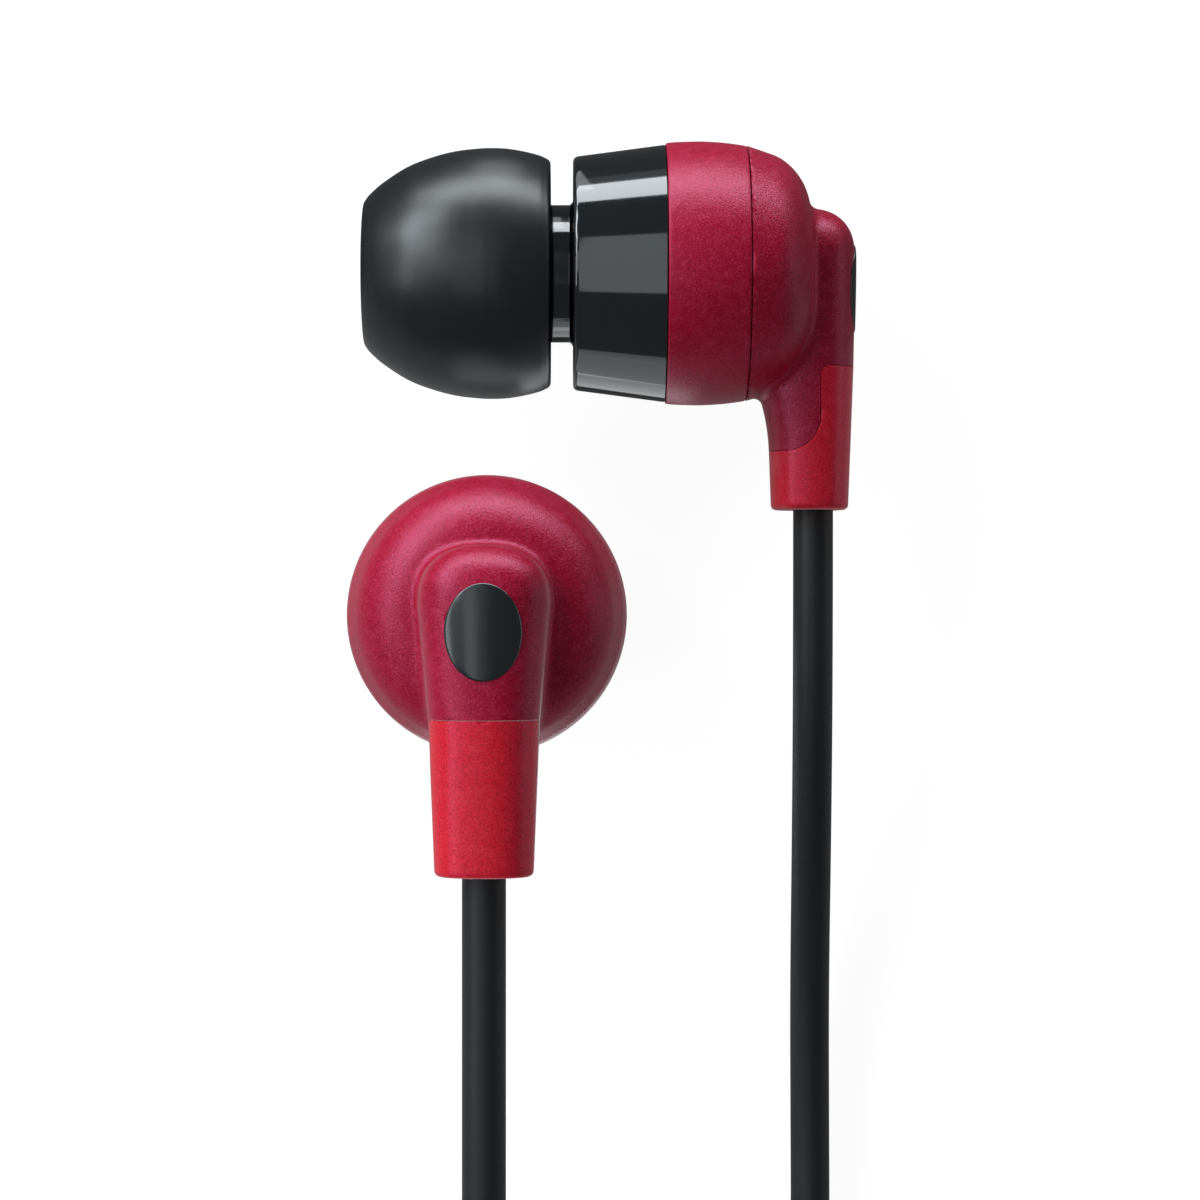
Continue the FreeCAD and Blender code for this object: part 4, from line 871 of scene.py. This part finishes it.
FINISHES = {
    "silicone": make_silicone(),
    "gloss_black": make_gloss_black(),
    "badge": make_gloss_black("badge", 0.22),
    "crimson": make_soft_touch("crimson", *CRIMSON, 0.022),
    "red_rubber": make_soft_touch("red_rubber", *BRIGHT_RED, 0.012),
    "cable": make_cable_jacket(),
    "mesh_steel": make_plain("mesh_steel", (0.42, 0.42, 0.44), 0.3, 1.0),
    "driver_plastic": make_plain("driver_plastic", (0.03, 0.03, 0.033), 0.5),
    "soft_iron": make_plain("soft_iron", (0.5, 0.5, 0.52), 0.35, 1.0),
    "magnet": make_plain("magnet", (0.6, 0.6, 0.62), 0.15, 1.0),
    "film": make_plain("film", (0.55, 0.52, 0.42), 0.2),
    "copper": make_plain("copper", (0.62, 0.25, 0.1), 0.3, 1.0),
    "board_green": make_plain("board_green", (0.01, 0.1, 0.03), 0.4),
    "wire": make_plain("wire", (0.6, 0.24, 0.09), 0.35, 1.0),
    "black_rubber": make_plain("black_rubber", colour(26, 29, 32), 0.55, depth=0.004),
    "black_plastic": make_plain("black_plastic", colour(24, 27, 30), 0.38, depth=0.004),
    "button_red": make_soft_touch("button_red", *CRIMSON, 0.02),
    "tin": make_plain("tin", (0.6, 0.6, 0.6), 0.3, 1.0),
    "gold": make_plain("gold", (0.86, 0.58, 0.22), 0.16, 1.0, depth=0),
    "insulator": make_plain("insulator", (0.012, 0.012, 0.013), 0.35),
}


def dress(piece, slot):
    piece.data.materials.clear()
    piece.data.materials.append(FINISHES[slot])


# What each piece wears, what it rides on and which nodes it stands for

slot_of = {entry["node"]: entry["material_slot"] for entry in frame["record"]["subparts"]}
for node, carried in nodes.items():
    carried.data.materials.clear()
    carried.data.materials.append(FINISHES[slot_of[node]])

for side, place in BUD_PLACES.items():
    for piece, (make, slot) in BUD_MAKERS.items():
        name = f"{side}_{piece}"
        made = make(f"{name}_look", place)
        dress(made, slot)
        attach(made, f"{side}_tip" if piece == "ear_tip" else "earphones")
        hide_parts(name)

# In the photograph the right bud's gloss mirrors neither the other bud nor the cable
for piece in scene.objects:
    if not piece.name.startswith("right_") or "branch" in piece.name:
        piece.visible_glossy = False

for cord, side in ((right_cord, "right"), (left_cord, "left")):
    dress(cord, "cable")
    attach(cord, "earphones")
    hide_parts(*(f"{side}_branch_{part}" for part in ("upper", "coil", "lower")))
dress(main_cord, "cable")
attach(main_cord, "earphones")
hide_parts("main_cord_upper", "main_cord_coil", "main_cord_lower")


# Table, light and background


def by_ray(tree, camera, glossy, other):
    """A strength that differs for the camera, for mirrored light and for the rest."""
    rays = tree.nodes.new("ShaderNodeLightPath")
    mirrored = tree.nodes.new("ShaderNodeMix")
    mirrored.inputs[2].default_value = other
    mirrored.inputs[3].default_value = glossy
    tree.links.new(rays.outputs["Is Glossy Ray"], mirrored.inputs[0])
    seen = tree.nodes.new("ShaderNodeMix")
    seen.inputs[3].default_value = camera
    tree.links.new(rays.outputs["Is Camera Ray"], seen.inputs[0])
    tree.links.new(mirrored.outputs[0], seen.inputs[2])
    return seen.outputs[0]


def make_table():
    """A white table with a little glow of its own, so that it stays white round the faint shadows."""
    bpy.ops.mesh.primitive_plane_add(size=3)
    table = bpy.context.object
    table.name = "table"
    material = bpy.data.materials.new("white_table")
    material.use_nodes = True
    tree = material.node_tree
    shader = next(node for node in tree.nodes if node.type == "BSDF_PRINCIPLED")
    shader.inputs["Base Color"].default_value = (*[TABLE_WHITE] * 3, 1)
    shader.inputs["Roughness"].default_value = 1
    shader.inputs["Specular IOR Level"].default_value = 0
    shader.inputs["Emission Color"].default_value = (1, 1, 1, 1)
    tree.links.new(by_ray(tree, TABLE_SEEN, TABLE_MIRRORED, TABLE_GLOW), shader.inputs["Emission Strength"])
    table.data.materials.append(material)


def make_world():
    """The white background that the camera sees, much dimmer as a light and in mirrored light."""
    world = bpy.data.worlds.new("studio")
    world.use_nodes = True
    scene.world = world
    tree = world.node_tree
    background = tree.nodes["Background"]
    tree.links.new(by_ray(tree, 1.0, WORLD_MIRRORED, WORLD_LIGHT), background.inputs["Strength"])
    background.inputs["Color"].default_value = (1, 1, 1, 1)


def make_softbox(name, centre, aim, width, height, radiance):
    """A rectangular lamp in metres. Its radiance is in units of the white background."""
    data = bpy.data.lights.new(name, "AREA")
    data.shape = "RECTANGLE"
    data.size = width
    data.size_y = height
    data.energy = radiance * width * height * math.pi
    lamp = bpy.data.objects.new(name, data)
    lamp.location = centre
    lamp.rotation_euler = (Vector(aim) - Vector(centre)).to_track_quat("-Z", "Y").to_euler()
    lamp.visible_camera = False
    scene.collection.objects.link(lamp)
    return lamp


LAMP_DISTANCE = 0.5


def make_lamp(name, azimuth, elevation, width, height, radiance):
    """A softbox aimed at the buds from LAMP_DISTANCE off. The azimuth goes from +X towards +Y."""
    turn, rise = math.radians(azimuth), math.radians(elevation)
    aim = Vector((0, 0, 0.01))
    away = Vector((math.cos(rise) * math.cos(turn), math.cos(rise) * math.sin(turn), math.sin(rise)))
    return make_softbox(name, aim + away * LAMP_DISTANCE, aim, width, height, radiance)


CARD_HEIGHT = 0.1


def make_card(name, corners, glow):
    """A glowing card on the table that only mirrored light shows, a painted reflection, with its corners in
    millimetres.
    """
    data = bpy.data.meshes.new(name)
    data.from_pydata([(x * MM, y * MM, CARD_HEIGHT * MM) for x, y in corners], [], [range(len(corners))])
    card = bpy.data.objects.new(name, data)
    scene.collection.objects.link(card)
    material = bpy.data.materials.new(name)
    material.use_nodes = True
    shader = next(node for node in material.node_tree.nodes if node.type == "BSDF_PRINCIPLED")
    shader.inputs["Base Color"].default_value = (0.02, 0.02, 0.02, 1)
    shader.inputs["Roughness"].default_value = 1
    shader.inputs["Emission Color"].default_value = (1, 1, 1, 1)
    shader.inputs["Emission Strength"].default_value = glow
    data.materials.append(material)
    for kind in ("camera", "diffuse", "transmission", "shadow"):
        setattr(card, f"visible_{kind}", False)


TABLE_WHITE = 0.22
TABLE_SEEN = 0.94
TABLE_MIRRORED = 0.22
TABLE_GLOW = 0.05
WORLD_MIRRORED = 0.15
WORLD_LIGHT = 0.03
make_table()
make_world()

# Lamps: name, azimuth and elevation in degrees, width and height in metres, radiance
# Softboxes: name, centre, aim, width, height, radiance; the last three are small, near and only for mirroring

FULL_LAMPS = [
    ("back_left", 135, 24, 0.25, 0.14, 8.3),
    ("high_back_left", 150, 38, 0.2, 0.15, 5.0),
    ("left", 180, 36, 0.2, 0.15, 2.9),
    ("right_rim", 5, 6, 0.26, 0.1, 1.4),
]
LAMPS_WITHOUT_MIRRORING = [
    ("front_left", 210, 36, 0.2, 0.15, 4.8),
    ("low_front_left", 225, 24, 0.25, 0.14, 2.6),
    ("front_right", 285, 8, 0.26, 0.13, 3.8),
]
MIRRORED_LAMPS = [
    ("back_right", 48, 3, 0.18, 0.05, 7.0),
    ("high_left", 166, 56, 0.16, 0.14, 1.4),
]
MIRRORED_SOFTBOXES = [
    ("low_strip", (-0.028, -0.15, 0.011), (0.0, 0.0, 0.008), 0.036, 0.022, 0.7),
    ("front_card", (0.0004, 0.001, 0.0033), (0.0004, 0.011, 0.0038), 0.0075, 0.006, 1.15),
    ("back_card", (-0.0052, 0.024, 0.0092), (-0.0052, 0.0163, 0.0105), 0.0048, 0.006, 1.3),
]
overhead = make_softbox("overhead", (-0.12, 0.055, 0.5), (-0.12, 0.055, 0.0), 0.14, 0.5, 1.0)
make_softbox("back_strip", (0.0, 0.43, 0.08), (0.0, 0.0, 0.01), 0.5, 0.16, 7.0)
for settings in FULL_LAMPS:
    make_lamp(*settings)
for settings in LAMPS_WITHOUT_MIRRORING:
    make_lamp(*settings).visible_glossy = False
overhead.visible_diffuse = False
for settings in MIRRORED_LAMPS:
    make_lamp(*settings).visible_diffuse = False
for settings in MIRRORED_SOFTBOXES:
    make_softbox(*settings).visible_diffuse = False
# Painted reflections: these cards glow but show only in the gloss, the dark ones as mirrored shade and the
# bright one as mirrored light.
make_card("dark_card", [(-300, 8), (300, 8), (300, 67), (-300, 67)], 0.06)
make_card("dark_slip", [(-3, 1.5), (3.5, 1.5), (3.5, 8), (-3, 8)], 0.06)
make_card("bright_card", [(4, -7.7), (-11, -7.7), (-46, -150), (-10, -150)], 1.0)

scene.view_settings.view_transform = "Standard"
